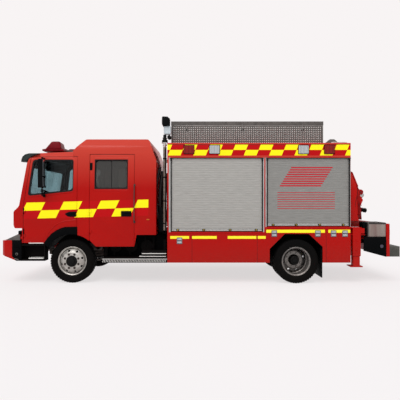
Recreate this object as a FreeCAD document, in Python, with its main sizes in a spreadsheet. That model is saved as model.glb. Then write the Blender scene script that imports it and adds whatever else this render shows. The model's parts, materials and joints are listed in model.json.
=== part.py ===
"""Rescue truck: crew cab, locker body, rear crane, outrigger legs, roof lockers and a light mast.

The truck faces -X, its left side is at -Y and it stands on z = 0. Lengths are in millimetres.
Every driving dimension is a cell of the sheet "Sizes", and every feature is bound to those cells.
"""
import FreeCAD, Part
import os
import re

import Sketcher

V = FreeCAD.Vector

# Driving dimensions, group by group.
SIZES = {
    # whole vehicle
    "front_overhang": 1350, "wheelbase": 4250, "rear_overhang": 1960, "clearance": 6, "fit": 0.5,
    # wheels and tyres
    "tyre_radius": 419, "tyre_width": 210, "tyre_bore": 250, "shoulder": 34, "rim_lip": 264,
    "rim_barrel": 238, "rim_width": 190, "lip_width": 12, "disc_offset": 140, "disc_thick": 12,
    "disc_flat": 168, "front_wheel_y": 1000, "twin_centre_y": 915, "hub_radius": 106,
    "hub_reach": 46, "hub_bore": 36, "vent_radius": 20, "vent_circle": 204, "drum_radius": 190,
    "drum_bore": 165, "drum_width": 110, "hub_seat": 34,
    # axles and springs
    "kingpin_y": 850, "beam_half": 45, "beam_drop": 70, "boss_radius": 42, "boss_half": 62,
    "ear_thick": 24, "housing_radius": 68, "diff_radius": 190,
    "spring_y": 480, "spring_half_width": 38, "spring_half_length": 640, "spring_thick": 52,
    "spring_rise": 86, "shaft_radius": 42,
    # frame
    "rail_outer": 425, "rail_flange": 68, "rail_bottom": 690, "rail_top": 920, "rail_wall": 8,
    "rail_front": 430, "rail_rear_cut": 826, "member": 90, "pivot_x": 1020, "pivot_z": 1000,
    "pivot_radius": 36, "pivot_pin": 19.5, "pivot_lug": 50,
    # engine block
    "engine_front": 420, "engine_length": 880, "engine_half_width": 325, "engine_bottom": 500,
    "engine_top": 1200,
    # cab outline, measured back from the front axle
    "nose": 1090, "cab_face": 930, "screen_base": 985, "screen_top": 856, "roof_front": 770,
    "roof_step": 10, "raised_front": 244, "raised_rear": 1450, "cab_rear": 1597,
    "cab_base_z": 770, "nose_bottom_z": 1045, "nose_top_z": 1420, "screen_base_z": 1450,
    "screen_top_z": 2284, "roof_front_z": 2472, "low_roof_z": 2510, "high_roof_z": 2750,
    "rear_top_z": 2331, "cab_rear_z": 921, "notch": 1230, "sill_z": 700, "sill_front": 464,
    "sill_rear": 1190, "arch_over": 651, "arch_front": 283, "arch_front_over": 577,
    "arch_top_front": 130, "arch_top_rear": 112, "step_rear": 508,
    "cab_half": 1170, "belt_z": 1450, "upper_half": 1110, "edge_half": 1000,
    "cab_wall": 60, "floor_z": 1100, "floor_plate": 55, "tunnel_half": 400, "tunnel_top": 1330,
    "tunnel_wall": 25, "tunnel_front": 500, "tunnel_rear": 560,
    # windscreen and door windows
    "screen_half": 1020, "screen_low_z": 1510, "screen_high_z": 2235, "pane": 7, "pane_inset": 18,
    # doors, measured back from the front axle
    "hinge_out": 12, "hinge_radius": 9, "hinge_half": 45,
    "door_front": 903, "door_front_top": 775, "door_rear": 103, "door_top_z": 2400,
    "window_low_front": 805, "window_high_front": 722, "window_rear": 31, "window_high_z": 2325,
    "window_low_z": 1765, "window_dip_z": 1675,
    "crew_front": 343, "crew_rear": 1184, "crew_top_z": 2444, "crew_window_front": 432,
    "crew_window_rear": 1063, "crew_window_high_z": 2350, "crew_window_low_z": 1786,
    # cab furniture
    "seat_width": 500, "seat_depth": 480, "seat_z": 1480, "seat_pad": 130, "seat_back": 640,
    "seat_y": 640, "bench_rear": 1440, "dash_top": 1560, "dash_low": 1250, "dash_depth": 300,
    "steer_radius": 225, "steer_rim": 15, "steer_x": 560, "steer_z": 1650,
    "visor_half": 980, "bar_half": 860, "bar_top": 2720,
    "mirror_height": 530, "mirror_depth": 90, "mirror_width": 190, "mirror_top": 2338,
    # body
    "body_front": 1815, "body_tail": 1013, "body_half": 1200, "body_bottom": 400,
    "body_top": 2650, "body_wall": 40, "floor_top": 982, "rear_floor_top": 1080,
    "opening_top": 2366, "shutter_one": 66, "pillar": 76, "shutter_two": 563,
    "shutter_two_width": 1560, "curtain_inset": 18, "curtain_thick": 16, "bar_height": 58,
    "curtain_hidden": 60, "skirt_inner": 600, "rear_arch_over": 523, "rear_arch_flat": 225,
    "rear_arch_front": 91, "rear_arch_front_z": 658, "rear_arch_rear": 68,
    "rear_arch_rear_z": 700, "drum_tube": 95,
    # roof lockers
    "locker_front": 60, "locker_tail": 437, "locker_in": 300, "locker_out": 900,
    "locker_height": 440, "lid_height": 70, "locker_wall": 4, "lid_lip": 8,
    # rear end
    "crane_back": 157, "beam_back": 42, "beam_depth": 170, "beam_high": 972,
    "leg_outer": 150, "leg_inner": 126, "leg_y": 1095, "leg_top": 1060, "leg_low": 520,
    "foot_z": 310, "foot_size": 230, "foot_plate": 20, "pedestal_top": 1180,
    "column_radius": 110, "boom_z": 1565, "boom_half": 75, "column_drop": 122,
    "boom_height": 190, "boom_wall": 10, "boom_reach": 1010, "boom_tail": 95, "boom_pin_y": 40,
    "jib_gap": 0.6, "boom_pin": 28,
    "bulkhead_in": 260, "bulkhead": 60, "bulkhead_low": 510, "bulkhead_high": 1130,
    "rear_half": 1170, "deck_high": 877, "deck_back": 307,
    "tail_step_low": 510, "tail_step_high": 700, "tail_step_half": 1150,
    "hitch_bore": 20, "hitch_z": 620, "hitch_half": 90,
    "box_depth": 335, "box_gap": 5, "box_in": 720, "box_out": 1150, "box_top": 1150,
    # bumper and steps
    "bumper_depth": 385, "bumper_half": 1175, "bumper_top": 812, "bumper_low": 435,
    "bumper_nose_low": 560, "deck_nose": 130, "deck_nose_z": 827, "deck_rear": 350,
    "deck_rear_z": 925, "bumper_corner": 39, "bumper_wall": 60,
    "step_front": 5, "step_back": 76, "step_low": 430, "step_high": 745, "step_inner": 990,
    "tread": 28, "side_step_front": 582, "side_step_rear": 2, "side_step_low": 395,
    "side_step_high": 490, "side_step_inner": 860, "bar_low": 545, "bar_high": 630,
    # smaller things
    "guard_gap": 93, "guard_thick": 18, "flap_low": 115, "flap_high": 660, "flap_thick": 18,
    "mast_gap": 57, "mast_y": 1060, "mast_outer": 32, "mast_inner": 24, "mast_low": 1000,
    "mast_high": 2590, "stack_low": 960, "stack_high": 2230, "pipe_radius": 48,
    "lamp_depth": 24, "lamp_low": 2440, "lamp_high": 2612, "lamp_width": 205,
    "marker_width": 104, "marker_height": 122,
    "tank_front": 680, "tank_rear": 185, "tank_low": 500, "tank_high": 875, "tank_in": 460,
    "tank_out": 950, "air_radius": 115,
}

# Places along the truck, from the front: each is tied to an axle, so they move with the wheelbase.
FRONT = "(-(front_overhang+wheelbase+rear_overhang)/2)"
AXLE1 = f"({FRONT}+front_overhang)"
AXLE2 = f"({AXLE1}+wheelbase)"
REAR = f"({AXLE2}+rear_overhang)"
BUMPER_X = f"({FRONT}+bumper_depth)"
BODY_X = f"({AXLE1}+body_front)"
BODY_END = f"({AXLE2}+body_tail)"
OPEN1 = f"({BODY_X}+shutter_one)"
OPEN2 = f"({AXLE2}-shutter_two)"
OPEN2_END = f"({OPEN2}+shutter_two_width)"
OPEN1_END = f"({OPEN2}-pillar)"
MAST_X = f"({BODY_X}-mast_gap)"
CRANE_X = f"({BODY_END}+crane_back)"
BEAM_X = f"({BODY_END}+beam_back)"
BULKHEAD_X = f"({REAR}-bulkhead_in)"
TANK_X = f"({AXLE1}+tank_front)"
TANK_END = f"({BODY_X}-tank_rear)"
ARCH_FRONT = f"({AXLE2}-tyre_radius-rear_arch_front)"
ARCH_REAR = f"({AXLE2}+tyre_radius+rear_arch_rear)"
ROLES = {"XY": "XY_Plane", "XZ": "XZ_Plane", "YZ": "YZ_Plane"}
TURNS = {
    "x": FreeCAD.Rotation(V(0, 1, 0), 90),
    "y": FreeCAD.Rotation(V(1, 0, 0), -90),
    "z": FreeCAD.Rotation(),
}

doc = FreeCAD.newDocument("RescueTruck")
sheet = doc.addObject("Spreadsheet::Sheet", "Sizes")
nodes = {}


def fill_sheet():
    """Write each driving dimension as plain text beside its name."""
    for row, (name, size) in enumerate(SIZES.items(), start=1):
        sheet.set(f"A{row}", name)
        sheet.set(f"B{row}", str(size))
        sheet.setAlias(f"B{row}", name)
    doc.recompute()


def cells(text):
    """Turn the plain names in an expression into references to the sheet."""
    def refer(match):
        word = match.group()
        return f"Sizes.{word}" if word in SIZES else word
    return re.sub(r"[a-z][a-z0-9_]*", refer, str(text))


def bind(item, **expressions):
    """Bind properties of an object, with __ for the dot in a property path."""
    for path, text in expressions.items():
        item.setExpression(path.replace("__", "."), cells(text))
    return item


def place(item, x="0", y="0", z="0"):
    return bind(item, Placement__Base__x=x, Placement__Base__y=y, Placement__Base__z=z)


def block(name, x0, x1, y0, y1, z0, z1):
    """A box between two corners given as expressions."""
    box = doc.addObject("Part::Box", name)
    bind(box, Length=f"({x1})-({x0})", Width=f"({y1})-({y0})", Height=f"({z1})-({z0})")
    return place(box, x0, y0, z0)


def rod(name, axis, radius, length, x, y, z):
    """A cylinder that starts at a point and runs along +x, +y or +z."""
    item = doc.addObject("Part::Cylinder", name)
    item.Placement = FreeCAD.Placement(V(), TURNS[axis])
    bind(item, Radius=radius, Height=length)
    return place(item, x, y, z)


def sketch_on(body, name, plane, offset, outline):
    """A closed outline of straight lines, each corner driven by two expressions."""
    sketch = body.newObject("Sketcher::SketchObject", f"{name}_sketch")
    origin = [o for o in body.Origin.OriginFeatures if o.Role == ROLES[plane]][0]
    sketch.AttachmentSupport = [(origin, "")]
    sketch.MapMode = "FlatFace"
    bind(sketch, AttachmentOffset__Base__z=offset)
    count = len(outline)
    rough = [V(sketch_value(u), sketch_value(v), 0) for u, v, *_ in outline]
    lines = [Part.LineSegment(rough[i], rough[(i + 1) % count]) for i in range(count)]
    sketch.addGeometry(lines, False)
    for i in range(count):
        sketch.addConstraint(Sketcher.Constraint("Coincident", i, 2, (i + 1) % count, 1))
    for i, (u, v, *_) in enumerate(outline):
        for kind, text, at in (("DistanceX", u, rough[i].x), ("DistanceY", v, rough[i].y)):
            number = sketch.addConstraint(Sketcher.Constraint(kind, -1, 1, i, 1, at))
            bind(sketch, **{f"Constraints[{number}]": text})
    return sketch, rough


def sketch_value(text):
    """The present value of an expression, for a sketch's first guess."""
    words = {name: float(sheet.get(name)) for name in re.findall(r"[a-z][a-z0-9_]*", str(text))}
    total = str(text)
    for name in sorted(words, key=len, reverse=True):
        total = re.sub(rf"\b{name}\b", repr(words[name]), total)
    return FreeCAD.Units.Quantity(total.replace(" ", "")).Value


def round_corners(body, pad, plane, outline, rough):
    """Fillet the pad's edges that stand on the outline's corners with a third entry."""
    doc.recompute()
    groups = {}
    for corner, point in zip(outline, rough):
        if len(corner) > 2:
            groups.setdefault(corner[2], []).append(point)
    for number, (radius, points) in enumerate(groups.items()):
        names = []
        for index, edge in enumerate(body.Shape.Edges, start=1):
            ends = [flat(vertex.Point, plane) for vertex in edge.Vertexes]
            if len(ends) == 2 and ends[0].distanceToPoint(ends[1]) < 1e-6:
                if any(ends[0].distanceToPoint(p) < 1e-3 for p in points):
                    names.append(f"Edge{index}")
        before = body.Tip
        fillet = body.newObject("PartDesign::Fillet", f"{body.Name}_round{number}")
        fillet.Base = (before, names)
        bind(fillet, Radius=radius)
        body.Tip = fillet
        doc.recompute()
    return body


def flat(point, plane):
    pick = {"XY": (point.x, point.y), "XZ": (point.x, point.z), "YZ": (point.y, point.z)}[plane]
    return V(pick[0], pick[1], 0)


def prism(name, plane, outline, start, end):
    """A pad of an outline between two places along the plane's normal axis.

    An outline corner is (u, v) or (u, v, radius); u and v run along the plane's two axes.
    """
    body = doc.addObject("PartDesign::Body", name)
    offset = f"-({end})" if plane == "XZ" else start
    sketch, rough = sketch_on(body, name, plane, offset, outline)
    pad = body.newObject("PartDesign::Pad", f"{name}_pad")
    pad.Profile = sketch
    bind(pad, Length=f"({end})-({start})")
    body.Tip = pad
    return round_corners(body, pad, plane, outline, rough)


def turned(name, outline, x, y, z, side=1):
    """A revolution about an axis along Y; outline corners are (distance along Y, radius)."""
    body = doc.addObject("PartDesign::Body", name)
    profile = [(f"{side}*({u})", v) for u, v in outline]
    sketch, _ = sketch_on(body, name, "YZ", "0", profile)
    spin = body.newObject("PartDesign::Revolution", f"{name}_spin")
    spin.Profile = sketch
    spin.ReferenceAxis = (sketch, ["H_Axis"])
    spin.Angle = 360
    body.Tip = spin
    return place(body, x, y, z)


def fuse(name, parts):
    item = doc.addObject("Part::MultiFuse", name)
    item.Shapes = list(parts)
    return item


def common(name, first, second):
    item = doc.addObject("Part::MultiCommon", name)
    item.Shapes = [first, second]
    return item


def cut(name, base, tool):
    item = doc.addObject("Part::Cut", name)
    item.Base = base
    item.Tool = tool
    return item


def mirror(name, source):
    """The same piece on the other side of the truck."""
    item = doc.addObject("Part::Mirroring", name)
    item.Source = source
    item.Base = V(0, 0, 0)
    item.Normal = V(0, 1, 0)
    return item


def both(name, source):
    return fuse(name, [source, mirror(f"{name}_right", source)])


def node(name, item):
    """Name a finished sub-part."""
    item.Label = name
    nodes[name] = item
    return item


def sides(stem, build):
    """Build a left sub-part and its mirrored right twin."""
    left = node(f"left_{stem}", build())
    node(f"right_{stem}", mirror(f"right_{stem}_shape", left))
    return left


# ---------------------------------------------------------------- wheels and axles

def wheel_outline(reach):
    """Half section of a disc wheel: lips, drop barrel and a dished disc; reach is the disc's side."""
    half = "rim_width/2"
    return [
        (f"-{half}", "rim_lip"), (f"-{half}", "rim_barrel"), (f"{reach}-95", "rim_barrel"),
        (f"{reach}-disc_thick", "disc_flat"), (f"{reach}-disc_thick", "hub_radius"),
        (reach, "hub_radius"), (reach, "disc_flat"), (f"{reach}-70", "rim_barrel"),
        (half, "rim_barrel"), (half, "rim_lip"), (f"{half}-lip_width", "rim_lip"),
        (f"{half}-lip_width", "tyre_bore"), (f"lip_width-{half}", "tyre_bore"),
        (f"lip_width-{half}", "rim_lip"),
    ]


def vents(name, x, y):
    """Eight round hand holes through a wheel's disc."""
    holes = []
    for turn in range(8):
        hole = rod(f"{name}_{turn}", "y", "vent_radius", "240", x, y, "tyre_radius")
        place(hole, f"{x}+vent_circle*cos({turn * 45 + 22.5})", f"{y}-120",
              f"tyre_radius+vent_circle*sin({turn * 45 + 22.5})")
        holes.append(hole)
    return fuse(f"{name}_all", holes)


def tyre_outline():
    half = "tyre_width/2"
    bulge = f"({half}+14)"
    seat = "(rim_width/2-lip_width-fit)"
    return [
        (f"-{seat}", "tyre_bore+fit"), (f"-{seat}", "rim_lip+fit"), (f"-{half}+2", "rim_lip+8"),
        (f"-{bulge}", "(tyre_radius+rim_lip)/2"), (f"-{bulge}+4", "tyre_radius-shoulder"),
        (f"-{half}+12", "tyre_radius"), (f"{half}-12", "tyre_radius"),
        (f"{bulge}-4", "tyre_radius-shoulder"), (bulge, "(tyre_radius+rim_lip)/2"),
        (f"{half}-2", "rim_lip+8"), (seat, "rim_lip+fit"), (seat, "tyre_bore+fit"),
    ]


def front_wheel():
    y = "-front_wheel_y"
    rim = turned("front_rim", wheel_outline("disc_offset"), AXLE1, y, "tyre_radius", side=-1)
    plain = cut("front_rim_cut", rim, vents("front_vent", AXLE1, f"{y}-disc_offset+40"))
    hub = turned("front_hub", [
        ("disc_offset+hub_reach", "0.1"), ("disc_offset+hub_reach", "62"),
        ("disc_offset+6", "hub_radius"), ("20", "hub_radius"), ("20", "drum_radius"),
        ("-90", "drum_radius"), ("-90", "drum_bore"), ("0", "drum_bore"),
        ("0", "hub_bore"), ("100", "hub_bore"), ("100", "0.1"),
    ], AXLE1, y, "tyre_radius", side=-1)
    return fuse("front_wheel_all", [plain, hub])


def front_tyre():
    return turned("front_tyre", tyre_outline(), AXLE1, "-front_wheel_y", "tyre_radius")


def rear_wheels():
    outer_y = "-twin_centre_y-disc_offset"
    inner_y = "-twin_centre_y+disc_offset"
    outer = turned("rear_rim_outer", wheel_outline("disc_offset"), AXLE2, outer_y,
                   "tyre_radius", side=1)
    inner = turned("rear_rim_inner", wheel_outline("disc_offset"), AXLE2, inner_y,
                   "tyre_radius", side=-1)
    rims = fuse("rear_rims", [outer, inner])
    holes = vents("rear_vent", AXLE2, "-twin_centre_y")
    hub = turned("rear_hub", [
        ("110", "0.1"), ("110", "60"), ("90", "80"), ("30", "hub_radius"), ("-14", "hub_radius"),
        ("-14", "drum_radius"), ("-14-drum_width", "drum_radius"), ("-14-drum_width", "drum_bore"),
        ("-hub_seat", "drum_bore"), ("-hub_seat", "0.1"),
    ], AXLE2, "-twin_centre_y", "tyre_radius", side=-1)
    return fuse("rear_wheel_all", [cut("rear_rim_cut", rims, holes), hub])


def rear_tyres():
    pair = []
    for spot, side in (("outer", "-"), ("inner", "+")):
        pair.append(turned(f"rear_tyre_{spot}", tyre_outline(), AXLE2,
                           f"-twin_centre_y{side}disc_offset", "tyre_radius"))
    return fuse("rear_tyre_pair", pair)


def knuckle():
    """Fork round the axle's boss, back plate and the spindle that carries the hub."""
    gap = "(boss_half+fit)"
    y = "-kingpin_y"
    parts = []
    for spot, low in (("top", f"tyre_radius+{gap}"), ("low", f"tyre_radius-{gap}-ear_thick")):
        parts.append(rod(f"ear_{spot}", "z", "boss_radius", "ear_thick", AXLE1, y, low))
        parts.append(block(f"arm_{spot}", f"{AXLE1}-34", f"{AXLE1}+34", f"{y}-boss_radius-24", y,
                           low, f"{low}+ear_thick"))
    parts.append(block("knuckle_web", f"{AXLE1}-60", f"{AXLE1}+60", f"{y}-boss_radius-32",
                       f"{y}-boss_radius-8", f"tyre_radius-{gap}-ear_thick",
                       f"tyre_radius+{gap}+ear_thick"))
    parts.append(rod("spindle", "y", "hub_bore-fit", "front_wheel_y+70-kingpin_y-boss_radius-20",
                     AXLE1, "-front_wheel_y-70", "tyre_radius"))
    parts.append(block("steer_arm", f"{AXLE1}+20", f"{AXLE1}+150", f"{y}-40", f"{y}-10",
                       f"tyre_radius-{gap}-ear_thick", f"tyre_radius-{gap}"))
    return fuse("knuckle_all", parts)


def spring(name, x, low):
    """A leaf pack, flat in the middle and rising to both eyes, with a hanger at each end."""
    half = "spring_half_length"
    outline = [
        (f"{x}-60", low), (f"{x}+60", low), (f"{x}+{half}", f"{low}+spring_rise"),
        (f"{x}+{half}", f"{low}+spring_rise+spring_thick*0.6"),
        (f"{x}+60", f"{low}+spring_thick"), (f"{x}-60", f"{low}+spring_thick"),
        (f"{x}-{half}", f"{low}+spring_rise+spring_thick*0.6"),
        (f"{x}-{half}", f"{low}+spring_rise"),
    ]
    leaf = prism(name, "XZ", outline, "-spring_y-spring_half_width", "-spring_y+spring_half_width")
    parts = [leaf]
    for spot, at in (("front", f"{x}-{half}"), ("rear", f"{x}+{half}-50")):
        parts.append(block(f"{name}_{spot}", at, f"{at}+50", "-spring_y-spring_half_width",
                           "-rail_outer+60", f"{low}+spring_rise", "rail_bottom"))
    return fuse(f"{name}_set", parts)


def front_axle():
    low = "tyre_radius-beam_drop-beam_half"
    half = "kingpin_y-boss_radius+4"
    beam = prism("front_beam", "YZ", [
        (f"-({half})", "tyre_radius-beam_half"), (f"-({half})", "tyre_radius+beam_half"),
        (f"120-({half})", "tyre_radius+beam_half"), ("-560", "tyre_radius-beam_drop+beam_half"),
        ("560", "tyre_radius-beam_drop+beam_half"), (f"{half}-120", "tyre_radius+beam_half"),
        (half, "tyre_radius+beam_half"), (half, "tyre_radius-beam_half"),
        (f"{half}-120", "tyre_radius-beam_half"), ("560", low), ("-560", low),
        (f"120-({half})", "tyre_radius-beam_half"),
    ], f"{AXLE1}-beam_half", f"{AXLE1}+beam_half")
    boss = rod("kingpin_boss", "z", "boss_radius", "2*boss_half", AXLE1, "-kingpin_y",
               "tyre_radius-boss_half")
    leaf = spring("front_spring", AXLE1, "tyre_radius-beam_drop+beam_half")
    return fuse("front_axle_all", [beam, both("bosses", boss), both("front_springs", leaf)])


def rear_axle():
    y = "twin_centre_y-hub_seat-fit"
    tube = rod("axle_tube", "y", "housing_radius", f"2*({y})", AXLE2, f"-({y})", "tyre_radius")
    diff = doc.addObject("Part::Sphere", "diff")
    bind(diff, Radius="diff_radius")
    place(diff, AXLE2, "0", "tyre_radius")
    shaft = rod("propeller_shaft", "x", "shaft_radius",
                f"{AXLE2}-({AXLE1}+engine_length-engine_front)-diff_radius+30",
                f"{AXLE1}+engine_length-engine_front+fit", "0", "tyre_radius+140")
    nose = prism("diff_nose", "XZ", [
        (f"{AXLE2}-diff_radius-60", "tyre_radius+80"), (f"{AXLE2}", "tyre_radius-100"),
        (f"{AXLE2}", "tyre_radius+160"), (f"{AXLE2}-diff_radius-60", "tyre_radius+200"),
    ], "-70", "70")
    leaf = spring("rear_spring", AXLE2, "tyre_radius+housing_radius-2")
    return fuse("rear_axle_all", [tube, diff, shaft, nose, both("rear_springs", leaf)])


# ---------------------------------------------------------------- frame, engine and tanks

def chassis_frame():
    start = f"{FRONT}+rail_front"
    end = BULKHEAD_X
    side = "-rail_outer"
    rail = prism("rail", "YZ", [
        (side, "rail_bottom"), (f"{side}+rail_flange", "rail_bottom"),
        (f"{side}+rail_flange", "rail_bottom+rail_wall"), (f"{side}+rail_wall", "rail_bottom+rail_wall"),
        (f"{side}+rail_wall", "rail_top-rail_wall"), (f"{side}+rail_flange", "rail_top-rail_wall"),
        (f"{side}+rail_flange", "rail_top"), (side, "rail_top"),
    ], start, end)
    low_end = block("rail_low_end", f"{BODY_END}+4", f"{end}+10", f"{side}-10",
                    f"{side}+rail_flange+10", "rail_rear_cut", "rail_top+10")
    rail = cut("rail_cut", rail, low_end)
    plate = block("rail_end_plate", f"{BODY_END}+4", end, side, f"{side}+rail_flange",
                  "rail_rear_cut-rail_wall", "rail_rear_cut")
    bracket = prism("pivot_bracket", "XZ", [
        (f"{AXLE1}-pivot_x", "pivot_z-pivot_radius"), (start, "rail_top"),
        (f"{start}+200", "rail_top"),
        (f"{start}+200", "rail_top+40"), (f"{AXLE1}-pivot_x", "pivot_z"),
    ], side, f"{side}+rail_flange")
    lug = rod("pivot_lug_rod", "y", "pivot_radius", "rail_flange", f"{AXLE1}-pivot_x", side, "pivot_z")
    pin = rod("pivot_pin_rod", "y", "pivot_pin", "rail_flange+pivot_lug", f"{AXLE1}-pivot_x", side,
              "pivot_z")
    left = [rail, plate, bracket, lug, pin]
    right = [mirror(f"frame_right_{i}", part) for i, part in enumerate(left)]
    members = []
    inner = "rail_outer-rail_wall"
    places = (start, f"{AXLE1}-600", f"{AXLE1}+700", f"{AXLE1}+1700", f"{AXLE2}-700",
              f"{AXLE2}+700", f"{BODY_END}-120")
    for i, x in enumerate(places):
        members.append(block(f"member_{i}", x, f"{x}+60", f"-({inner})", inner,
                             "rail_bottom+rail_wall", "rail_bottom+rail_wall+member"))
    for i, x in enumerate((f"{AXLE1}-engine_front+80", f"{AXLE1}-engine_front+engine_length-160")):
        mount = block(f"engine_mount_{i}", x, f"{x}+80", f"-({inner})", "-engine_half_width",
                      "rail_bottom+80", "rail_bottom+140")
        members.append(both(f"engine_mounts_{i}", mount))
    return fuse("frame_all", left + right + members)


def engine():
    return block("engine_block", f"{AXLE1}-engine_front", f"{AXLE1}-engine_front+engine_length",
                 "-engine_half_width", "engine_half_width", "engine_bottom", "engine_top")


def tanks():
    """Fuel tank on the right and three air tanks on the left, each on the frame's side."""
    fuel = prism("fuel_tank", "YZ", [
        ("tank_in", "tank_low", "60"), ("tank_in", "tank_high", "60"),
        ("tank_out", "tank_high", "60"), ("tank_out", "tank_low", "60"),
    ], TANK_X, TANK_END)
    parts = [fuel]
    middle = "(tank_low+tank_high)/2"
    for i in range(3):
        x = f"{TANK_X}+{120 + i * 300}"
        parts.append(rod(f"air_tank_{i}", "y", "air_radius", "tank_out-tank_in", x, "-tank_out",
                         middle))
    for i, x in enumerate((f"{TANK_X}+60", f"{TANK_END}-160")):
        parts.append(block(f"tank_arm_right_{i}", x, f"{x}+50", "rail_outer", "tank_in+20",
                           middle, "tank_high-60"))
    parts.append(block("tank_tray", TANK_X, TANK_END, "-tank_in-40", "-rail_outer",
                       "tank_low+100", "tank_high-60"))
    return fuse("tanks_all", parts)


# ---------------------------------------------------------------- cab

def at(back):
    """A place along the truck, measured back from the front axle."""
    return f"{AXLE1}+{back}"


def cab_side_outline():
    return [
        (at("-cab_face"), "cab_base_z"), (at("-cab_face"), "nose_bottom_z"),
        (at("-nose+25"), "nose_bottom_z", "24"), (at("-nose"), "nose_bottom_z+60", "30"),
        (at("-nose"), "nose_top_z-60", "60"), (at("-screen_base-20"), "screen_base_z-5", "30"),
        (at("-screen_base"), "screen_base_z+30", "20"), (at("-screen_top"), "screen_top_z", "60"),
        (at("-roof_front"), "roof_front_z", "70"), (at("roof_step"), "low_roof_z", "70"),
        (at("raised_front"), "high_roof_z", "60"), (at("raised_rear"), "high_roof_z", "70"),
        (at("cab_rear"), "rear_top_z", "60"), (at("cab_rear"), "cab_rear_z"),
        (at("notch"), "cab_rear_z"), (at("sill_rear"), "sill_z"), (at("sill_front"), "sill_z"),
        (at("raised_front"), "cab_rear_z"), (at("arch_top_rear"), "tyre_radius+arch_over"),
        (at("-arch_top_front"), "tyre_radius+arch_over"),
        (at("-arch_front"), "tyre_radius+arch_front_over"),
        (at("-step_rear"), "cab_base_z"),
    ]


def cab_section(inset, top):
    """Front view of the cab: upright below the belt, leaning in above it, rounded roof edges."""
    half = f"(cab_half-{inset})"
    return [
        (f"-{half}", "sill_z-50"), (f"-{half}", "belt_z"),
        (f"-(upper_half-{inset})", f"{top}-150", "90"), (f"-(edge_half-{inset})", top, "60"),
        (f"edge_half-{inset}", top, "60"), (f"upper_half-{inset}", f"{top}-150", "90"),
        (half, "belt_z"), (half, "sill_z-50"),
    ]


def cab_hull(name, inset, side_outline):
    """A low front half and a raised crew half, cut from one side outline."""
    side = prism(f"{name}_side", "XZ", side_outline, "-cab_half-10", "cab_half+10")
    low = prism(f"{name}_low", "YZ", cab_section(inset, f"(low_roof_z+4-{inset})"),
                at("-nose-20"), at("roof_step+20"))
    high = prism(f"{name}_high", "YZ", cab_section(inset, f"(high_roof_z+2-{inset})"),
                 at("roof_step+10"), at("cab_rear+10"))
    return common(f"{name}_hull", side, fuse(f"{name}_halves", [low, high]))


def cab_inner_outline():
    wall = "cab_wall"
    return [
        (at(f"-screen_base+{wall}"), "floor_z"), (at(f"-screen_base+{wall}"), "screen_base_z"),
        (at(f"-screen_top+{wall}"), "screen_top_z"),
        (at(f"-roof_front+{wall}"), f"roof_front_z-{wall}"),
        (at("roof_step+20"), f"low_roof_z-{wall}"), (at("raised_front+20"), f"high_roof_z-{wall}"),
        (at("raised_rear-20"), f"high_roof_z-{wall}"), (at(f"cab_rear-{wall}"), "rear_top_z-10"),
        (at(f"cab_rear-{wall}"), "cab_rear_z+floor_plate"),
        (at("raised_front+20"), "cab_rear_z+floor_plate"), (at("raised_front+20"), "floor_z"),
    ]


def door_outline(grow):
    """Front door seen from the side; grow widens it by the shut gap."""
    return [
        (at(f"-door_front-{grow}"), f"cab_base_z-{grow}-1"), (at(f"-door_front-{grow}"), "belt_z"),
        (at(f"-door_front_top-{grow}"), f"door_top_z+{grow}"),
        (at(f"door_rear+{grow}"), f"door_top_z+{grow}"),
        (at(f"door_rear+{grow}"), f"cab_base_z-{grow}-1"),
    ]


def crew_outline(grow):
    return [
        (at(f"crew_front-{grow}"), f"sill_z-{grow}-1"), (at(f"crew_front-{grow}"), f"crew_top_z+{grow}"),
        (at(f"crew_rear+{grow}"), f"crew_top_z+{grow}"), (at(f"crew_rear+{grow}"), f"sill_z-{grow}-1"),
    ]


def window_outline(grow):
    return [
        (at(f"-window_low_front-{grow}"), f"window_dip_z-{grow}"),
        (at(f"-window_high_front-{grow}"), f"window_high_z+{grow}"),
        (at(f"window_rear+{grow}"), f"window_high_z+{grow}"),
        (at(f"window_rear+{grow}"), f"window_low_z-{grow}"),
    ]


def crew_window_outline(grow):
    return [
        (at(f"crew_window_front-{grow}"), f"crew_window_low_z-{grow}"),
        (at(f"crew_window_front-{grow}"), f"crew_window_high_z+{grow}"),
        (at(f"crew_window_rear+{grow}"), f"crew_window_high_z+{grow}"),
        (at(f"crew_window_rear+{grow}"), f"crew_window_low_z-{grow}"),
    ]


def side_prism(name, outline):
    """A cutter or blank that reaches through the cab's left wall."""
    return prism(name, "XZ", outline, "-cab_half-20", "-upper_half+cab_wall+30")


def wall_band(name, near, far):
    """The left wall's skin as a slab between two depths below its outer face."""
    return prism(name, "YZ", [
        (f"-cab_half+{near}", "sill_z-60"), (f"-cab_half+{far}", "sill_z-60"),
        (f"-cab_half+{far}", "belt_z"), (f"-upper_half+{far}", "low_roof_z-146"),
        (f"-upper_half+{far}+10", "low_roof_z"), (f"-upper_half+{near}+10", "low_roof_z"),
        (f"-upper_half+{near}", "low_roof_z-146"), (f"-cab_half+{near}", "belt_z"),
    ], at("-nose"), at("cab_rear"))


HINGES = (("-door_front", "cab_base_z+120"), ("-door_front", "belt_z-110"),
          ("crew_front", "cab_rear_z+40"), ("crew_front", "belt_z-110"))


def hinge_half(name, back, z, side):
    """Half of a door hinge: a barrel on the axis and a leaf on the wall; side -1 is the cab's."""
    axis_x = at(f"{back}-clearance/2")
    axis_y = "-cab_half-hinge_out"
    low = z if side > 0 else f"{z}-hinge_half-fit"
    barrel = rod(f"{name}_barrel", "z", "hinge_radius", "hinge_half", axis_x, axis_y, low)
    near = axis_x if side > 0 else f"{axis_x}-45"
    far = f"{axis_x}+45" if side > 0 else axis_x
    leaf = block(f"{name}_leaf", near, far, f"{axis_y}+3", "-cab_half", low, f"{low}+hinge_half")
    return fuse(f"{name}_half", [barrel, leaf])


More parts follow.
